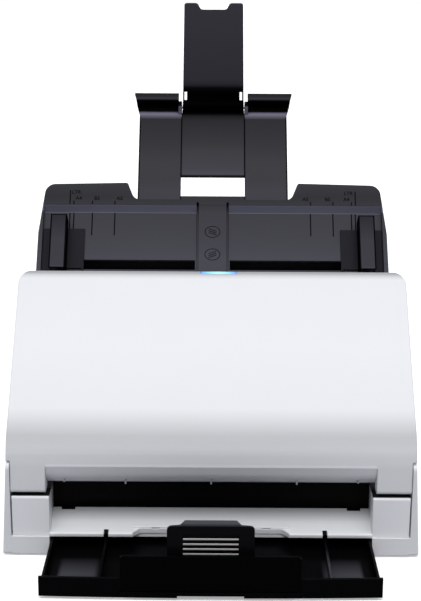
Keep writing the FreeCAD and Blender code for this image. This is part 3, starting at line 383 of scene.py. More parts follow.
@dataclass(frozen=True)
class Tone:
    """Painted light and shade that change along one direction, as stops of (millimetres, factor).

    A gate is another tone that goes from 0 to 1: this one has no effect where its gate is 0.
    """

    axis: Colour
    origin: Colour
    stops: tuple[tuple[float, float], ...]
    mirror: bool = False
    gate: "Tone | None" = None

    def factor(self, tree: Tree) -> Any:
        """Factor of a place: its distance along the axis read off the stops.

        Args:
            tree: Tree to add the nodes to.

        Returns:
            Output that holds the factor.
        """
        offset = tree.add("ShaderNodeVectorMath", {0: tree.place, 1: self.origin}, operation="SUBTRACT")
        reach = tree.add("ShaderNodeVectorMath", {0: offset.outputs["Vector"], 1: self.axis},
                         operation="DOT_PRODUCT").outputs["Value"]
        if self.mirror:
            reach = tree.sum("ABSOLUTE", reach)
        low, high = self.stops[0][0], self.stops[-1][0]
        along = tree.add("ShaderNodeMapRange", {"Value": reach, "From Min": low * MM, "From Max": high * MM})
        curve = tree.add("ShaderNodeValToRGB", {"Fac": along.outputs["Result"]})
        peak = max(factor for _, factor in self.stops)
        while len(curve.color_ramp.elements) < len(self.stops):
            curve.color_ramp.elements.new(0.5)
        for element, (place, _) in zip(curve.color_ramp.elements, self.stops):
            element.position = (place - low) / (high - low)
        for element, (_, factor) in zip(curve.color_ramp.elements, self.stops):
            element.color = (factor / peak,) * 3 + (1.0,)
        factor = tree.sum("MULTIPLY", curve.outputs["Color"], peak)
        if self.gate is None:
            return factor
        return tree.sum("MULTIPLY_ADD", tree.sum("SUBTRACT", factor, 1.0), self.gate.factor(tree), 1.0)


@dataclass(frozen=True)
class MouldedPlastic:
    """Spark-eroded injection moulding: fine grain, faint flow clouds and slightly rounded edges, with
    optional tones of painted light and shade.
    """

    name: str
    colour: Colour
    roughness: float = 0.46
    grain_mm: float = 0.42
    grain_depth_mm: float = 0.02
    cloud: float = 0.05
    edge_mm: float = 0.35
    specular: float = 0.5
    # tones: painted light and shade, each scaling the colour along one direction
    tones: tuple[Tone, ...] = ()

    def build(self) -> bpy.types.Material:
        """Grain relief over rounded edges; clouds vary the colour, tones paint light and shade into the
        colour and dim the specular where they darken it, grain the polish.
        """
        tree = Tree(self.name)
        grain = tree.noise(self.grain_mm, 3.0)
        pits = tree.add("ShaderNodeTexVoronoi", {"Vector": tree.place, "Scale": 0.7 / (self.grain_mm * MM)})
        cloud = tree.noise(34.0, 3.0)
        edge = tree.soft_edge(self.edge_mm)
        normal = tree.relief(pits.outputs["Distance"], self.grain_depth_mm, 0.5, edge)
        normal = tree.relief(grain, self.grain_depth_mm, 0.6, normal)
        colour = tree.blend(cloud, rgba(self.colour, 1.0 - self.cloud), rgba(self.colour, 1.0 + self.cloud))
        shine = self.specular
        # each tone is painted light and shade: it scales the colour, and where it darkens it also dims the
        # specular
        for tone in self.tones:
            factor = tone.factor(tree)
            scaled = {0: colour, "Scale": factor}
            colour = tree.add("ShaderNodeVectorMath", scaled, operation="SCALE").outputs[0]
            shine = tree.sum("MULTIPLY", tree.sum("MINIMUM", factor, 1.0), shine)
        return tree.close({
            "Base Color": colour, "Roughness": tree.ramp(grain, self.roughness - 0.06, self.roughness + 0.06),
            "Specular IOR Level": shine, "Normal": normal,
        })


@dataclass(frozen=True)
class DrawnSteel:
    """Ground or drawn metal with fine marks along one axis."""

    name: str
    colour: Colour = (205, 205, 208)
    roughness: float = 0.26
    stretch: tuple[float, float, float] = (60.0, 2600.0, 2600.0)

    def build(self) -> bpy.types.Material:
        """Long thin noise gives the drawing marks in the polish and the relief."""
        tree = Tree(self.name)
        marks = tree.noise(1000.0, 3.0, tree.stretched(self.stretch))
        stain = tree.noise(9.0, 4.0)
        colour = tree.blend(stain, rgba(self.colour, 0.82), rgba(self.colour, 1.02))
        return tree.close({
            "Base Color": colour, "Metallic": 1.0,
            "Roughness": tree.ramp(marks, self.roughness - 0.1, self.roughness + 0.14),
            "Normal": tree.relief(marks, 0.004, 0.5, tree.soft_edge(0.25)),
        })


@dataclass(frozen=True)
class PlatedSheet:
    """Pressed sheet steel with the soft spangle of its zinc."""

    name: str
    colour: Colour = (168, 171, 174)

    def build(self) -> bpy.types.Material:
        """Voronoi cells tint the zinc and change its polish."""
        tree = Tree(self.name)
        cells = tree.add("ShaderNodeTexVoronoi", {"Vector": tree.place, "Scale": 260.0})
        tone = tree.add("ShaderNodeSeparateColor", {"Color": cells.outputs["Color"]}).outputs["Red"]
        colour = tree.blend(tone, rgba(self.colour, 0.8), rgba(self.colour, 1.08))
        return tree.close({
            "Base Color": colour, "Metallic": 0.9, "Roughness": tree.ramp(tone, 0.32, 0.5),
            "Normal": tree.relief(tree.noise(0.8), 0.006, 0.4, tree.soft_edge(0.2)),
        })


@dataclass(frozen=True)
class GroundRubber:
    """Rubber with a ground surface and fine grooves around it."""

    name: str
    colour: Colour = (58, 58, 60)
    groove_mm: float = 0.9
    groove_depth_mm: float = 0.12

    def build(self) -> bpy.types.Material:
        """Grooves repeat along X; dust lightens the high spots a little."""
        tree = Tree(self.name)
        grooves = tree.stripes(self.groove_mm)
        ground = tree.noise(0.25, 4.0)
        normal = tree.relief(grooves, self.groove_depth_mm, 0.8, tree.soft_edge(0.4))
        normal = tree.relief(ground, 0.03, 0.8, normal)
        colour = tree.blend(tree.noise(3.0, 4.0), rgba(self.colour, 0.75), rgba(self.colour, 1.3))
        return tree.close({
            "Base Color": colour, "Roughness": tree.ramp(ground, 0.72, 0.95), "Normal": normal,
        })


@dataclass(frozen=True)
class LightLens:
    """Lit diffuser bar, brightest at its middle."""

    name: str
    middle_x: float
    half_length: float
    core: Colour = (150, 224, 250)
    rim: Colour = (74, 128, 232)
    glow: float = 0.9

    def build(self) -> bpy.types.Material:
        """The glow falls from the core colour at the middle to the rim colour at both ends."""
        tree = Tree(self.name)
        scale = (1.0 / self.half_length, 0.0, 0.0)
        shift = (-self.middle_x / self.half_length, 0.0, 0.0)
        spread = {"Vector": tree.stretched(scale, shift)}
        ball = tree.add("ShaderNodeTexGradient", spread, gradient_type="SPHERICAL")
        colour = tree.blend(ball.outputs["Fac"], rgba(self.rim), rgba(self.core))
        return tree.close({
            "Base Color": colour, "Emission Color": colour, "Emission Strength": self.glow,
            "Roughness": 0.22, "Coat Weight": 0.6,
            "Normal": tree.relief(tree.noise(1.2), 0.02, 0.3, tree.soft_edge(0.4)),
        })


@dataclass(frozen=True)
class ClearGlass:
    """Flat scanning glass."""

    name: str
    tint: Colour = (226, 240, 236)

    def build(self) -> bpy.types.Material:
        """Clear, with the faintest polishing haze."""
        tree = Tree(self.name)
        haze = tree.noise(6.0, 4.0)
        return tree.close({
            "Base Color": rgba(self.tint), "Transmission Weight": 0.9, "IOR": 1.5,
            "Roughness": tree.ramp(haze, 0.02, 0.09),
        })


@dataclass(frozen=True)
class CircuitBoard:
    """Solder mask with copper runs and tinned pads."""

    name: str
    mask: Colour = (22, 84, 48)
    copper: Colour = (52, 128, 74)
    tin: Colour = (196, 198, 200)

    def build(self) -> bpy.types.Material:
        """Cell borders give the runs, and small cells' middles the pads."""
        tree = Tree(self.name)
        turned = tree.add("ShaderNodeMapping", {
            "Vector": tree.place, "Rotation": (0.5 * math.pi, 0.0, 0.0), "Scale": (110.0, 110.0, 110.0)})
        runs = tree.add("ShaderNodeTexBrick", {
            "Vector": turned.outputs["Vector"], "Mortar Size": 0.05, "Scale": 1.0,
            "Color1": (0.0, 0.0, 0.0, 1.0), "Color2": (0.0, 0.0, 0.0, 1.0), "Mortar": (1.0, 1.0, 1.0, 1.0)})
        cells = tree.add("ShaderNodeTexVoronoi", {"Vector": tree.place, "Scale": 320.0})
        pad = tree.sum("LESS_THAN", cells.outputs["Distance"], 0.16)
        colour = tree.blend(runs.outputs["Color"], rgba(self.mask), rgba(self.copper))
        colour = tree.blend(pad, colour, rgba(self.tin))
        return tree.close({
            "Base Color": colour, "Metallic": tree.ramp(pad, 0.0, 0.9),
            "Roughness": 0.34, "Coat Weight": 0.3,
        })


@dataclass(frozen=True)
class RibbonCable:
    """Flat cable: parallel conductors under a thin film."""

    name: str
    colour: Colour = (222, 222, 216)
    pitch_mm: float = 1.0

    def build(self) -> bpy.types.Material:
        """Stripes along the cable, one for each conductor."""
        tree = Tree(self.name)
        cores = tree.stripes(self.pitch_mm)
        colour = tree.blend(cores, rgba(self.colour, 0.72), rgba(self.colour))
        return tree.close({"Base Color": colour, "Roughness": 0.35, "Normal": tree.relief(cores, 0.08, 0.7)})


PLATE_WHITE = (239.0, 239.0, 241.0)
INNER_BLACK = MouldedPlastic("inner_black", (3, 3, 4), 0.55, edge_mm=0.3, specular=0.1)
GLOSS_BLACK = MouldedPlastic("gloss_black", (9, 9, 11), 0.16, grain_depth_mm=0.004, edge_mm=0.25)
SHELL_BLACK = MouldedPlastic("shell_black", (34, 34, 40), 0.5, edge_mm=0.5, specular=0.25)
DRAWER_BLACK = MouldedPlastic("drawer_black", (2, 2, 3), 0.34, edge_mm=0.4, specular=0.03)
KEY_GREY = MouldedPlastic("key_grey", (178, 182, 189), 0.38, edge_mm=0.3)
ACETAL = MouldedPlastic("natural_acetal", (222, 217, 202), 0.34, grain_depth_mm=0.008, edge_mm=0.2)
# painted highlight: grip bars coloured pale grey in place of the light their facets catch on black plastic
GRIP_HIGHLIGHT = MouldedPlastic("grip_highlight", (176, 172, 170), 0.4, grain_mm=0.2, edge_mm=0.2)
# painted shade: near-black matte finish for the hinge trough, standing in for the shade in the gap behind the
# hinge
TROUGH_SHADE_BLACK = MouldedPlastic("trough_shade_black", (2, 2, 2), 0.9, grain_mm=0.15, grain_depth_mm=0.05, specular=0.05)
MARK_DARK = MouldedPlastic("mark_dark", (9, 8, 13), 0.62, grain_mm=0.2, edge_mm=0.05, specular=0.05)
STEEL = DrawnSteel("drawn_steel")
MOTOR_CAN = DrawnSteel("motor_can", (96, 98, 102), 0.42, (2600.0, 60.0, 60.0))
SHEET = PlatedSheet("zinc_sheet")
RUBBER = GroundRubber("ground_rubber")
BELT = GroundRubber("belt_rubber", (26, 26, 27), groove_mm=0.5, groove_depth_mm=0.05)
GLASS = ClearGlass("scan_glass")
BOARD = CircuitBoard("circuit_board")
CABLE = RibbonCable("ribbon_cable")


@dataclass(frozen=True)
class SlopeFinishes:
    """Finishes whose painted light and shade follow the leaning paper path, the height of the white covers or
    other directions.
    """

    slope: Slope

    def tone(self, axis: str, *stops: tuple[float, float], mirror: bool = False,
             gate: Tone | None = None) -> Tone:
        """Tone along x, a or n, or along the row's y or z.

        Args:
            axis: One of x, a, n, y and z.
            stops: Places in millimetres with their factors.
            mirror: Treat left and right alike.
            gate: Where the tone works.

        Returns:
            The tone.
        """
        slope = self.slope
        ways = {"x": (1.0, 0.0, 0.0), "y": (0.0, 1.0, 0.0), "z": (0.0, 0.0, 1.0),
                "a": tuple(slope.along), "n": tuple(slope.out)}
        origin = tuple(slope.foot) if axis in "an" else (0.0, 0.0, 0.0)
        return Tone(ways[axis], origin, stops, mirror, gate)

    def cover(self) -> MouldedPlastic:
        """White front cover with painted shade around the knee and along the crown, and painted light on the
        under-lip between the legs.
        """
        # painted shade: darker around the knee (z 80 to 104 mm) and along the crown's top edge
        shade = self.tone("z", (66.0, 0.92), (70.0, 0.98), (76.0, 1.0), (80.0, 0.92), (84.0, 0.78),
                          (88.0, 0.69), (91.0, 0.7), (94.0, 0.76), (97.2, 0.84), (100.4, 0.91),
                          (103.6, 0.97), (140.0, 1.0),
                          (181.5, 0.98), (183.5, 0.81), (185.1, 0.45))
        # painted light: the under-lip between the legs made 1.2 times brighter
        lip = self.tone("z", (54.0, 1.2), (67.0, 1.2), (69.0, 1.0),
                        gate=self.tone("x", (114.0, 1.0), (114.8, 0.0), mirror=True))
        return MouldedPlastic("white_cover", PLATE_WHITE, 0.5, cloud=0.008, edge_mm=1.4, tones=(shade, lip))

    def housing(self) -> MouldedPlastic:
        """White side and rear housings."""
        return MouldedPlastic("white_housing", PLATE_WHITE, 0.5, cloud=0.008, edge_mm=0.6)

    def exit_guide(self) -> MouldedPlastic:
        """White exit guide with painted shade deepening towards the slit, painted light on the side blocks,
        and painted shade on the block tops in the gap under the legs and in the rib slots.
        """
        # painted shade: the floor between the blocks darkens towards the slit at the back, under the cover
        shade = self.tone("y", (-98.0, 1.0), (-86.5, 1.0), (-84.4, 0.94), (-81.4, 0.69), (-78.4, 0.46),
                          (-76.0, 0.4), gate=self.tone("x", (112.6, 1.0), (113.0, 0.0), mirror=True))
        # painted light: the side blocks made 1.12 times brighter
        blocks = self.tone("x", (112.6, 1.0), (113.4, 1.12), mirror=True)
        # painted shade: the top faces of the side blocks at z 44.5 mm, in the gap under the legs, turned
        # almost black
        tops = self.tone("z", (44.0, 1.0), (44.5, 0.02), gate=self.tone("y", (-97.5, 0.0), (-96.7, 1.0)))
        # painted shade: the backs of the rib slots (x -75 to -71.8 and 78.3 to 81.5) turned almost black
        slots = self.tone("x", (-75.3, 1.0), (-75.0, 0.02), (-71.8, 0.02), (-71.5, 1.0), (78.0, 1.0),
                          (78.3, 0.02), (81.5, 0.02), (81.8, 1.0),
                          gate=self.tone("y", (-93.5, 0.0), (-93.3, 1.0), (-92.7, 1.0), (-92.5, 0.0)))
        return MouldedPlastic("white_exit_guide", PLATE_WHITE, 0.42, cloud=0.01, edge_mm=0.5,
                              tones=(shade, blocks, tops, slots))

    def tray(self) -> MouldedPlastic:
        """Black tray with painted light and shade up the slope, and a painted highlight on the bevel,
        brightest along its two edges.
        """
        # painted light and shade up the slope: twice as bright at the foot, dimming towards the rim
        shade = self.tone("a", (0.0, 2.0), (12.0, 2.0), (20.0, 1.73), (30.0, 1.47), (40.0, 1.28), (47.6, 1.2),
                          (49.0, 1.0), (53.4, 0.84), (56.0, 0.79), (60.0, 0.7), (64.0, 0.75), (70.0, 0.85))
        # painted highlight: the bevel (a 48 to 53.5) about five times brighter, brightest along its two
        # edges, away from the middle strip
        bevel = self.tone("a", (47.9, 1.0), (48.2, 5.6), (49.2, 5.0), (52.2, 5.2), (52.9, 6.5), (53.5, 1.0),
                          gate=self.tone("x", (12.0, 0.0), (12.2, 1.0), mirror=True))
        return MouldedPlastic("tray_black", (39, 39, 46), 0.5, edge_mm=0.5, specular=0.2,
                              tones=(shade, bevel))

    def extension(self) -> MouldedPlastic:
        """Black extension with painted light and shade up the slope: a painted highlight on the shoulder,
        painted shadow in the groove below the lip and painted shade in the joints between its panels.
        """
        outside = self.tone("x", (24.5, 0.0), (24.8, 1.0), mirror=True)
        inside = self.tone("x", (24.5, 1.0), (24.8, 0.0), mirror=True)
        # painted light and shade on the side wings: brighter low down and dimming up the slope, a painted
        # highlight on the shoulder (a 134 to 141), painted shadow in the groove below the lip (a 142 to 149)
        # and a lighter line on the lip's edge
        wings = self.tone("a", (60.0, 1.6), (70.0, 1.6), (80.0, 1.1), (90.0, 1.09), (100.0, 0.94),
                          (110.0, 0.8), (120.0, 0.7), (132.5, 0.6), (134.0, 3.0), (136.0, 7.0), (138.0, 7.6),
                          (139.5, 5.5), (141.0, 3.0), (142.0, 0.2), (143.5, 0.04), (149.0, 0.04),
                          (150.0, 1.0), (152.0, 0.5), (156.0, 0.35), gate=outside)
        # painted light and shade on the middle panel: a dark line at a 83, a painted highlight just above it,
        # dimming to near black at the panel's top
        panel = self.tone("a", (60.0, 1.0), (83.0, 0.2), (84.2, 0.3), (85.0, 2.3), (90.0, 1.6), (100.0, 1.2),
                          (110.0, 0.86), (120.0, 0.7), (126.0, 0.62), (132.0, 0.52), (134.0, 0.42),
                          (136.0, 0.3), (138.0, 0.06), gate=inside)
        # painted shade: dark lines in the gaps beside the support (|x| 24.4 to 24.9) and at |x| 56.8, below
        # the shoulder
        joints = self.tone("x", (23.9, 1.0), (24.4, 0.1), (24.9, 0.1), (25.3, 1.0), (56.2, 1.0),
                           (56.8, 0.1), mirror=True, gate=self.tone("a", (133.0, 1.0), (135.0, 0.0)))
        return MouldedPlastic("extension_black", (36, 34, 42), 0.46, edge_mm=0.5, specular=0.18,
                              tones=(wings, panel, joints))

    def guide(self) -> MouldedPlastic:
        """Document guides with painted shade: the foot darker than the flange, dark borders along the
        flange's edges, and painted light and shade along the flange.
        """
        # painted shade: everything below the flange's level, the foot, at 0.42
        level = self.tone("n", (10.4, 0.42), (10.9, 1.0))
        # painted shade: dark lines along both edges of the flange (|x| 108.8 to 109.6 and 120.1 to 120.9)
        border = self.tone("x", (108.5, 1.0), (108.8, 0.06), (109.6, 0.06), (110.1, 1.0), (119.7, 1.0),
                           (120.1, 0.06), (120.9, 0.06), (121.0, 1.0),
                           mirror=True)
        # painted light and shade on the flange: a dark line and a painted highlight at its lower end, dimming
        # up the slope to a dark line at its upper end
        ends = self.tone("a", (-1.8, 0.1), (-1.2, 1.4), (-0.2, 1.0), (20.0, 0.97), (30.0, 0.75), (40.2, 0.55),
                         (40.7, 0.05), gate=self.tone("n", (10.4, 0.0), (10.9, 1.0)))
        return MouldedPlastic("guide_black", (41, 39, 50), 0.42, edge_mm=0.4, specular=0.16,
                              tones=(level, border, ends))

    def support(self) -> MouldedPlastic:
        """Black flip-up support with painted shade around its hinge and a painted highlight line on the hinge
        barrel.
        """
        # painted shade: near black around the hinge (a 140 to 157), lightening up the support; painted
        # highlight: a thin bright line at a 147.5 to 148.2 on the hinge barrel
        shade = self.tone("a", (140.0, 0.02), (146.9, 0.04), (147.5, 2.4), (148.2, 2.4), (148.8, 0.02),
                          (157.0, 0.02), (161.0, 0.1), (164.0, 0.6), (168.0, 0.85), (200.0, 0.95),
                          (238.0, 1.1))
        return MouldedPlastic("support_black", (31, 28, 38), 0.42, edge_mm=0.5, specular=0.08, tones=(shade,))

    def eject_tray(self) -> MouldedPlastic:
        """Black eject tray with two paler strips of painted light in its floor."""
        # painted light: two paler strips along the floor, up to about 32 times brighter
        floor_light_strips = self.tone("x", (75.0, 1.0), (79.0, 34.0), (101.0, 40.0), (104.0, 1.0), mirror=True,
                         gate=self.tone("y", (-161.5, 0.0), (-158.0, 0.8), (-136.0, 0.8), (-112.0, 0.0)))
        return MouldedPlastic("eject_tray_black", (5, 5, 6), 0.34, edge_mm=0.4, specular=0.03, tones=(floor_light_strips,))

    def stopper(self) -> MouldedPlastic:
        """Black end stop with painted light on its bevelled head."""
        # painted light: the head above z 49.4 mm made 16 to 22 times brighter
        head = self.tone("z", (49.4, 1.0), (50.0, 16.0), (53.0, 22.0))
        return MouldedPlastic("stopper_black", (10, 10, 12), 0.34, edge_mm=0.4, specular=0.06, tones=(head,))


@dataclass
class Workshop:
    """What the sub-assemblies share: the frame, the slope and each finish made once."""

    frame: dict[str, Any]
    slope: Slope
    tuned: SlopeFinishes
    made: dict[str, bpy.types.Material] = field(default_factory=dict)

    def material(self, finish: Finish) -> bpy.types.Material:
        """The finish's material, made on first use."""
        if finish.name not in self.made:
            self.made[finish.name] = finish.build()
        return self.made[finish.name]

    def dress(self, finish: Finish, *nodes: str) -> None:
        """Give CAD nodes a finish.

        Args:
            finish: The finish.
            nodes: CAD node names.
        """
        for name in nodes:
            self.frame["nodes"][name].data.materials.clear()
            self.frame["nodes"][name].data.materials.append(self.material(finish))
        LOG.info("%s on %s", finish.name, ", ".join(nodes))

    def joint(self, child: str) -> dict[str, Any]:
        """The joint that carries a body."""
        return next(joint for joint in self.frame["joints"] if joint["child"] == child)

    def fit(self, piece: bpy.types.Object, body: str, finish: Finish, slot: str) -> bpy.types.Object:
        """Finish a new piece and let it ride.

        Args:
            piece: The piece.
            body: CAD body that it moves with.
            finish: Its finish.
            slot: Not used.

        Returns:
            The piece.
        """
        piece.data.materials.append(self.material(finish))
        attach(piece, body)
        LOG.info("piece %s rides %s, %d points", piece.name, body, len(piece.data.vertices))
        return piece


# ---- sub-assemblies ---------------------------------------------------------------------
@dataclass
class RoundKey:
    """Dished push key with a generic sign moulded into it, replacing its plain CAD node."""

    shop: Workshop
    node: str
    body: str
    glyph: Glyph
    dish_mm: float = 0.5
    rim_mm: float = 0.45
    line_mm: float = 0.55

    def axis_frame(self) -> tuple[np.ndarray, np.ndarray, float, float]:
        """Centre of the key's foot, its three axes as rows, and its radius and height in millimetres."""
        outward = -np.array(self.shop.joint(self.body)["axis"])
        right = np.array([1.0, 0.0, 0.0]) * (1.0 if outward[1] < 0.5 else -1.0)
        up = np.cross(outward, right)
        points = np.array([v.co for v in self.shop.frame["nodes"][self.node].data.vertices])
        low, high = (points @ outward).min(), (points @ outward).max()
        middle = 0.5 * (points.min(0) + points.max(0))
        top = points[points @ outward > high - 0.5 * MM]
        radius = 0.5 * np.ptp(top @ right)
        foot = middle - outward * (middle @ outward) + outward * low
        return foot, np.array([right, up, outward]), radius / MM, (high - low) / MM

    def cap(self, radius: float, height: float) -> tuple[np.ndarray, list]:
        """Turned cap: flange, shank, rounded rim and a dished crown.

        Args:
            radius: Radius of the shank.
            height: Height over the foot.

        Returns:
            Points and faces about the key's own axis.
        """
        flange = radius * 1.3
        crown = height - self.dish_mm
        outline = [(0.01, 0.0), (flange, 0.0), (flange, 1.9), (radius, 1.9), (radius, height),
                   (radius - self.rim_mm * 2.0, height), (radius * 0.55, crown), (0.01, crown)]
        return lathe(rounded(outline, self.rim_mm))

    def sign(self, radius: float, height: float) -> tuple[np.ndarray, list]:
        """Raised sign in the dish: a bar for power's tick, a triangle or a square, each as a low ridge.

        Args:
            radius: Radius of the shank.
            height: Height over the foot.

        Returns:
            Points and faces about the key's own axis.
        """
        size = radius * 0.36
        turns = {Glyph.START: 3, Glyph.STOP: 4, Glyph.POWER: 28}[self.glyph]
        lead = {Glyph.START: 0.0, Glyph.STOP: 0.25 * math.pi, Glyph.POWER: 0.0}[self.glyph]
        angle = lead + np.linspace(0.0, 2.0 * math.pi, turns, endpoint=False)
        corner = np.stack([np.cos(angle), np.sin(angle)], axis=1)
        low, high = height - self.dish_mm - 0.2, height - self.dish_mm + 0.12
        band = [(size - self.line_mm * 0.5, low), (size + self.line_mm * 0.5, low),
                (size + self.line_mm * 0.5, high), (size - self.line_mm * 0.5, high)]
        rings = np.empty((turns, 4, 3))
        rings[..., :2] = corner[:, None] * np.array([b[0] for b in band])[None, :, None]
        rings[..., 2] = np.array([b[1] for b in band])[None]
        ring = closed_band(rings)
        if self.glyph is not Glyph.POWER:
            return ring
        half = self.line_mm * 0.5
        corners = np.array([(-half, 0.1), (half, 0.1), (half, size * 1.5), (-half, size * 1.5)])
        tick = np.empty((2, 4, 3))
        tick[..., :2] = corners[None]
        tick[..., 2] = np.array([low, high + 0.06])[:, None]
        return merged([ring, closed_sweep(tick)])

    def build(self) -> None:
        """Make the key and its sign, and put the key in place of its CAD node."""
        foot, axes, radius, height = self.axis_frame()
        for suffix, (points, faces), finish in (
            ("_cap", self.cap(radius, height), KEY_GREY),
            ("_sign", self.sign(radius, height), MARK_DARK),
        ):
            piece = make_object(self.node + suffix, foot + points * MM @ axes, faces)
            self.shop.fit(piece, self.body, finish, "key_plastic")
            if suffix == "_cap":
                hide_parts(self.node)


@dataclass
class FlatMark:
    """Printed or sunk marks on the slope: low closed ridges a few hundredths of a millimetre high."""

    shop: Workshop
    rise_mm: float = 0.05
    sink_mm: float = 0.06

    def section(self) -> tuple[np.ndarray, np.ndarray]:
        """Corners of a mark's rectangle: sideways as -1 or 1, and heights over the surface."""
        return np.array([-1.0, 1.0, 1.0, -1.0]), np.repeat([-self.sink_mm, self.rise_mm], 2)

    def strip(self, line: np.ndarray, width: float) -> tuple[np.ndarray, list]:
        """Ridge along a line of (x, a, n) points: a rectangle carried along it, square to x or a.

        Args:
            line: Array of shape (count, 3), millimetres.
            width: Width of the ridge.

        Returns:
            Points in the row frame and faces.
        """
        step = np.gradient(line, axis=0)
        across = np.stack([step[:, 1], -step[:, 0]], axis=1)
        size = np.linalg.norm(across, axis=1)[:, None]
        across = across / np.where(size > 1e-9, size, 1.0) * 0.5 * width
        sides, levels = self.section()
        x = line[:, None, 0] + across[:, None, 0] * sides
        a = line[:, None, 1] + across[:, None, 1] * sides
        n = line[:, None, 2] + levels
        return closed_sweep(self.shop.slope.at(x, a, n)[::-1])

    def ring(self, a: float, surface: Callable, radius: float, width: float) -> tuple[np.ndarray, list]:
        """Flat oval about x = 0: a rectangle turned about the slope's normal, on a surface.

        Args:
            a: Middle up the slope.
            surface: Height of the surface at each a.
            radius: Middle half width; the oval is 0.8 as tall.
            width: Width of the band.

        Returns:
            Points in the row frame and faces.
        """
        segments = 40
        angle = np.linspace(0.0, 2.0 * math.pi, segments, endpoint=False)[:, None]
        sides, levels = self.section()
        reach = radius + 0.5 * width * sides
        up = a + 0.8 * reach * np.sin(angle)
        return closed_band(self.shop.slope.at(reach * np.cos(angle), up, surface(up) + levels))

    def text(self, words: str, x: float, a: float, n: float, height: float) -> tuple[np.ndarray, list]:
        """Paper size name: letters made a mesh, then laid on the slope.

        Args:
            words: Generic paper size.
            x: Left end of the letters.
            a: Their baseline.
            n: Height of the surface.
            height: Height of a capital.

        Returns:
            Points in the row frame and faces.
        """
        curve = bpy.data.curves.new("letters", "FONT")
        curve.body = words
        curve.size = height / 0.7
        curve.extrude = 0.5 * (self.rise_mm + self.sink_mm)
        curve.offset = 0.03 * height
        letters = bpy.data.objects.new("letters", curve)
        mesh = bpy.data.meshes.new_from_object(letters)
        points = np.array([v.co for v in mesh.vertices])
        faces = [list(p.vertices) for p in mesh.polygons]
        for item, store in ((letters, bpy.data.objects), (curve, bpy.data.curves), (mesh, bpy.data.meshes)):
            store.remove(item)
        placed = self.shop.slope.at(x + points[:, 0], a + points[:, 1], n + points[:, 2])
        return placed, faces


@dataclass
class FeedTray:
    """Feed tray with its back shell, document guides, pinion, size marks and sheet icons."""

    shop: Workshop
    bevel_a: tuple[float, float] = (48.4, 53.4)
    rim_n: float = 3.6
    strip_n: tuple[float, float, float, float] = (-12.0, 0.6, 55.6, 3.6)
    line_mm: float = 0.95
    letter_mm: float = 2.8
    low_a: float = 29.5
    icon_a: tuple[float, float] = (31.6, 13.5)
    icon_r: float = 5.6

    def surface(self, a: np.ndarray) -> np.ndarray:
        """Height of the tray's face: the recess, then the bevel, then the rim."""
        return np.interp(a, self.bevel_a, (0.0, self.rim_n))

    def size_marks(self, side: Side) -> None:
        """Lines and names for each paper width on one side, following the tray's face.

        Args:
            side: Which half of the tray.
        """
        mark = FlatMark(self.shop)
        sizes = (("LTR", 108.0, 62.4), ("A4", 105.0, 57.3), ("B5", 91.0, 57.3), ("A5", 74.0, 57.3))
        parts = []
        for words, reach, baseline in sizes:
            x = side.value * reach
            top = baseline + (self.letter_mm if words == "LTR" else -0.9)
            for ends in ((top, self.bevel_a[1] + 0.15), (self.bevel_a[0] - 0.3, self.low_a)):
                a = np.linspace(*ends, 8)
                line = np.stack([np.full_like(a, x), a, self.surface(a)], axis=1)
                parts.append(mark.strip(line, self.line_mm))
            width = self.letter_mm * 0.86 * len(words)
            start = x + 1.2 if side is Side.LEFT else x - 1.2 - width
            parts.append(mark.text(words, start, baseline, self.rim_n, self.letter_mm))
        piece = make_object("size_marks_" + side.name.lower(), *merged(parts))
        self.shop.fit(piece, "base", MARK_DARK, "black_plastic")

    def icon(self, name: str, a: float, tilt: float) -> None:
        """Round sign of sheets in a stack: a ring with three slanted bars inside.

        Args:
            name: Piece name.
            a: Middle up the slope.
            tilt: Slant of the sheets, as a rise over a run.
        """
        mark = FlatMark(self.shop)
        low_a, low_n, high_a, high_n = self.strip_n

        def surface(up: np.ndarray) -> np.ndarray:
            """Height of the middle strip."""
            return np.interp(up, (low_a, high_a), (low_n, high_n))

        parts = [mark.ring(a, surface, self.icon_r, 0.6)]
        for level in (-1.5, 0.0, 1.5):
            across = np.linspace(-2.9, 2.9, 6)
            up = a + level + tilt * across
            line = np.stack([across, up, surface(up)], axis=1)
            parts.append(mark.strip(line, 0.55))
        self.shop.fit(make_object(name, *merged(parts)), "base", MARK_DARK, "black_plastic")

    def build(self) -> None:
        """Dress the tray's nodes and add its marks."""
        self.shop.dress(self.shop.tuned.tray(), "feed_tray")
        self.shop.dress(SHELL_BLACK, "tray_back")
        self.shop.dress(self.shop.tuned.guide(), "guide_left", "guide_right")
        self.shop.dress(ACETAL, "guide_pinion")
        for side in Side:
            self.size_marks(side)
        self.icon("stack_icon_upper", self.icon_a[0], -0.35)
        self.icon("stack_icon_lower", self.icon_a[1], 0.35)


@dataclass
class TrayExtension:
    """Sliding extension and its flip-up support."""

    shop: Workshop
    hinge: tuple[float, float] = (143.5, -6.8)
    trough_r: tuple[float, float] = (4.9, 5.7)
    trough_half: float = 24.4

    def trough(self) -> None:
        """Curved wall behind the support's hinge, its near-black matte finish painted shade for the gap
        there: two arcs about the hinge, carried along x.
        """
        angle = np.radians(np.linspace(188.0, 268.0, 13))
        inner, outer = self.trough_r
        a = self.hinge[0] + np.concatenate([inner * np.cos(angle), outer * np.cos(angle[::-1])])
        n = self.hinge[1] + np.concatenate([inner * np.sin(angle), outer * np.sin(angle[::-1])])
        x = np.array([-self.trough_half, self.trough_half])[:, None]
        piece = make_object("hinge_trough", *closed_sweep(self.shop.slope.at(x, a, n)))
        self.shop.fit(piece, "tray_extension", TROUGH_SHADE_BLACK, "black_plastic")

    def build(self) -> None:
        """Dress the extension, the hinge pin and the support."""
        self.shop.dress(self.shop.tuned.extension(), "tray_extension")
        self.shop.dress(self.shop.tuned.support(), "flip_support")
        self.shop.dress(STEEL, "flip_pin")
        self.trough()


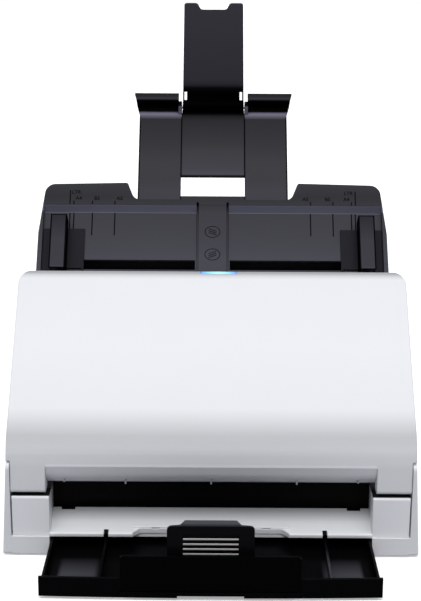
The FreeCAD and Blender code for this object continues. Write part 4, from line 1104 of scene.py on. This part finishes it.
@dataclass
class FrontUnit:
    """White front cover with its light, keys, lever, guide and rollers."""

    shop: Workshop
    rib_x: tuple[float, ...] = (-102.5, -59.7, 0.0, 59.7, 102.5)
    rib_mm: tuple[float, float, float] = (1.1, 2.2, 3.6)
    lip: tuple[float, float] = (-91.0, 53.6)

    def light(self) -> None:
        """Lit bar in the top edge."""
        low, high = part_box("status_light")
        lens = LightLens("status_glow", 0.5 * (low.x + high.x), 0.5 * (high.x - low.x))
        self.shop.dress(lens, "status_light")

    def lip_ribs(self) -> None:
        """Small ribs below the exit lip: prisms with a slanted nose, as (y, z) outlines carried along x."""
        wide, drop, deep = self.rib_mm
        y, z = self.lip
        parts = []
        for x in self.rib_x:
            low = drop if abs(x) < 100.0 else 0.45 * drop
            side = np.array([(y, z), (y, z - low), (y + deep, z - low), (y + deep, z)])
            parts.append(prism(x - 0.5 * wide, x + 0.5 * wide, side))
        self.shop.fit(make_object("exit_ribs", *merged(parts)), "front_unit", KEY_GREY, "white_plastic")

    def build(self) -> None:
        """Dress the unit's nodes and add its keys and ribs."""
        self.shop.dress(self.shop.tuned.cover(), "front_cover")
        self.shop.dress(KEY_GREY, "open_lever")
        self.shop.dress(INNER_BLACK, "inner_guide", "retard_holder", "latch_arms")
        self.shop.dress(GLOSS_BLACK, "upper_sensor")
        self.shop.dress(GLASS, "upper_sensor_glass")
        self.shop.dress(RUBBER, "retard_tyres")
        self.shop.dress(STEEL, "retard_shaft", "latch_shaft",
                        "registration_pinch", "scan_pinch", "eject_pinch")
        self.light()
        self.lip_ribs()
        RoundKey(self.shop, "start_button", "start_key", Glyph.START).build()
        RoundKey(self.shop, "stop_button", "stop_key", Glyph.STOP).build()


@dataclass
class BaseHousing:
    """White housings, exit guide, pan, feet, sockets and the power key."""

    shop: Workshop
    foot_r: float = 7.0

    def feet(self) -> None:
        """Turned rubber feet with a rounded edge and a shallow hollow underneath."""
        low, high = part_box("feet")
        height = (high.z - low.z) / MM
        radius = self.foot_r
        outline = [(0.01, 0.35), (radius * 0.55, 0.35), (radius * 0.7, 0.0), (radius, 0.0), (radius, height),
                   (0.01, height)]
        turned, faces = lathe(rounded(outline, 0.4), 40)
        parts = []
        for x in (low.x + radius * MM, high.x - radius * MM):
            for y in (low.y + radius * MM, high.y - radius * MM):
                parts.append((turned * MM + np.array([x, y, low.z]), faces))
        piece = make_object("rubber_feet", *merged(parts))
        self.shop.fit(piece, "base", RUBBER, "rubber_grey")
        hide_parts("feet")

    def build(self) -> None:
        """Dress the housings and make the feet and the power key."""
        self.shop.dress(self.shop.tuned.housing(), "side_cover_left", "side_cover_right", "rear_cover")
        self.shop.dress(self.shop.tuned.exit_guide(), "exit_guide")
        self.shop.dress(INNER_BLACK, "base_pan", "chassis")
        self.shop.dress(GLOSS_BLACK, "power_jack", "usb_port")
        self.shop.dress(STEEL, "hinge_pins", "case_screws")
        self.feet()
        RoundKey(self.shop, "power_button", "power_key", Glyph.POWER).build()


@dataclass
class PaperDrive:
    """Lower guide, image sensor, driven rollers, belts, motor and control board."""

    shop: Workshop
    driven: tuple[str, ...] = ("feed", "registration", "scan", "eject")

    def build(self) -> None:
        """Dress everything inside the base."""
        self.shop.dress(INNER_BLACK, "lower_guide")
        self.shop.dress(GLOSS_BLACK, "lower_sensor")
        self.shop.dress(GLASS, "lower_sensor_glass")
        self.shop.dress(SHEET, "side_frame_left", "side_frame_right", "sensor_bracket")
        self.shop.dress(STEEL, "motor_rotor", *(name + "_shaft" for name in self.driven))
        self.shop.dress(RUBBER, *(name + "_tyres" for name in self.driven))
        self.shop.dress(ACETAL, "shaft_bushes")
        self.shop.dress(BELT, "transfer_belt", "drive_belt")
        self.shop.dress(MOTOR_CAN, "motor")
        self.shop.dress(BOARD, "main_board")
        self.shop.dress(CABLE, "sensor_cable")


@dataclass
class EjectDrawer:
    """Pull-out eject tray with its inner drawer and flip-down stop."""

    shop: Workshop
    grip_z: tuple[float, ...] = (40.4, 36.8, 33.3, 29.7)
    grip_mm: tuple[float, float, float] = (18.2, 0.65, 0.35)
    stop_front: float = 1.1

    def grips(self) -> None:
        """Grip bars on the stop, pale grey as a painted highlight: half-round (y, z) outlines carried along
        x.
        """
        low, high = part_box("eject_stopper")
        front = self.shop.joint("eject_stopper")["pos_m"][1] / MM - self.stop_front
        half, tall, deep = self.grip_mm
        angle = np.linspace(0.0, math.pi, 9)
        parts = []
        for z in self.grip_z:
            y = front + 0.1 - (deep + 0.1) * np.sin(angle)
            parts.append(prism(-half, half, np.stack([y, z + tall * np.cos(angle)], axis=1)))
        LOG.info("stop spans z %.4f to %.4f", low.z, high.z)
        self.shop.fit(make_object("stop_grips", *merged(parts)), "eject_stopper", GRIP_HIGHLIGHT, "black_plastic")

    def build(self) -> None:
        """Dress the tray, the drawer and the stop."""
        self.shop.dress(self.shop.tuned.eject_tray(), "eject_tray")
        self.shop.dress(DRAWER_BLACK, "eject_extension")
        self.shop.dress(self.shop.tuned.stopper(), "eject_stopper")
        self.grips()


@dataclass
class Studio:
    """Pale floor, soft lights and the camera."""

    eye: tuple[float, float, float] = (0.0, -0.99752, 0.43585)
    pitch_deg: float = 15.5
    roll_deg: float = 0.3
    yaw_deg: float = 0.07
    lens_mm: float = 83.86
    sun_strength: float = 2.4
    sun_height_deg: float = 74.0
    sky: float = 0.36

    def camera(self) -> None:
        """Camera in front of the machine, a little above it."""
        data = bpy.data.cameras.new("camera")
        data.lens = self.lens_mm
        data.sensor_width = 36.0
        camera = bpy.data.objects.new("camera", data)
        camera.location = self.eye
        turn = Euler((math.radians(90.0 - self.pitch_deg), 0.0, math.radians(self.yaw_deg))).to_matrix()
        roll = Euler((0.0, 0.0, math.radians(self.roll_deg))).to_matrix()
        camera.rotation_euler = (turn @ roll).to_euler()
        bpy.context.scene.collection.objects.link(camera)
        bpy.context.scene.camera = camera

    def backdrop(self) -> None:
        """Pale floor: the camera sees it bright, and it gives the machine a softer light."""
        half = 6.0
        points = np.array([(-half, -half, 0.0), (half, -half, 0.0), (half, half, 0.0), (-half, half, 0.0)])
        floor = make_object("floor", points, [[0, 1, 2, 3]])
        tree = Tree("floor_pale")
        seen = tree.add("ShaderNodeLightPath").outputs["Is Camera Ray"]
        shade = tree.blend(seen, (0.36, 0.37, 0.39, 1.0), (0.9, 0.9, 0.9, 1.0))
        glow = tree.sum("MULTIPLY", seen, 0.35)
        floor.data.materials.append(tree.close({
            "Base Color": shade, "Roughness": 0.9, "Specular IOR Level": 0.0,
            "Emission Color": (1.0, 1.0, 1.0, 1.0), "Emission Strength": glow,
        }))

    def sky_light(self) -> None:
        """White surroundings; lamps and bounces meet a dimmer, slightly blue sky."""
        world = bpy.data.worlds.new("studio")
        world.use_nodes = True
        nodes, links = world.node_tree.nodes, world.node_tree.links
        nodes.clear()
        seen = nodes.new("ShaderNodeLightPath")
        bright, dim = nodes.new("ShaderNodeBackground"), nodes.new("ShaderNodeBackground")
        bright.inputs["Color"].default_value = (1.0, 1.0, 1.0, 1.0)
        dim.inputs["Color"].default_value = (0.93, 0.98, 1.06, 1.0)
        dim.inputs["Strength"].default_value = self.sky
        mix, output = nodes.new("ShaderNodeMixShader"), nodes.new("ShaderNodeOutputWorld")
        links.new(seen.outputs["Is Camera Ray"], mix.inputs[0])
        links.new(dim.outputs["Background"], mix.inputs[1])
        links.new(bright.outputs["Background"], mix.inputs[2])
        links.new(mix.outputs["Shader"], output.inputs["Surface"])
        bpy.context.scene.world = world

    def lamps(self) -> None:
        """One wide soft lamp high in front."""
        data = bpy.data.lights.new("key", "SUN")
        data.energy = self.sun_strength
        data.angle = math.radians(60.0)
        lamp = bpy.data.objects.new("key", data)
        lamp.rotation_euler = (math.radians(90.0 - self.sun_height_deg), 0.0, 0.0)
        bpy.context.scene.collection.objects.link(lamp)

    def build(self) -> None:
        """Set up the camera, floor, sky and lamp."""
        bpy.context.scene.view_settings.view_transform = "Standard"
        self.camera()
        self.backdrop()
        self.sky_light()
        self.lamps()


def main() -> None:
    """Build the sub-assemblies around the frame."""
    logging.basicConfig(level=logging.INFO, format="%(name)s: %(message)s")
    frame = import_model()
    slope = Slope.from_joints(frame["joints"])
    shop = Workshop(frame, slope, SlopeFinishes(slope))
    Studio().build()
    for assembly in (FrontUnit, BaseHousing, PaperDrive, FeedTray, TrayExtension, EjectDrawer):
        assembly(shop).build()
        LOG.info("%s done", assembly.__name__)
    bpy.context.view_layer.update()


if __name__ == "__main__":
    main()
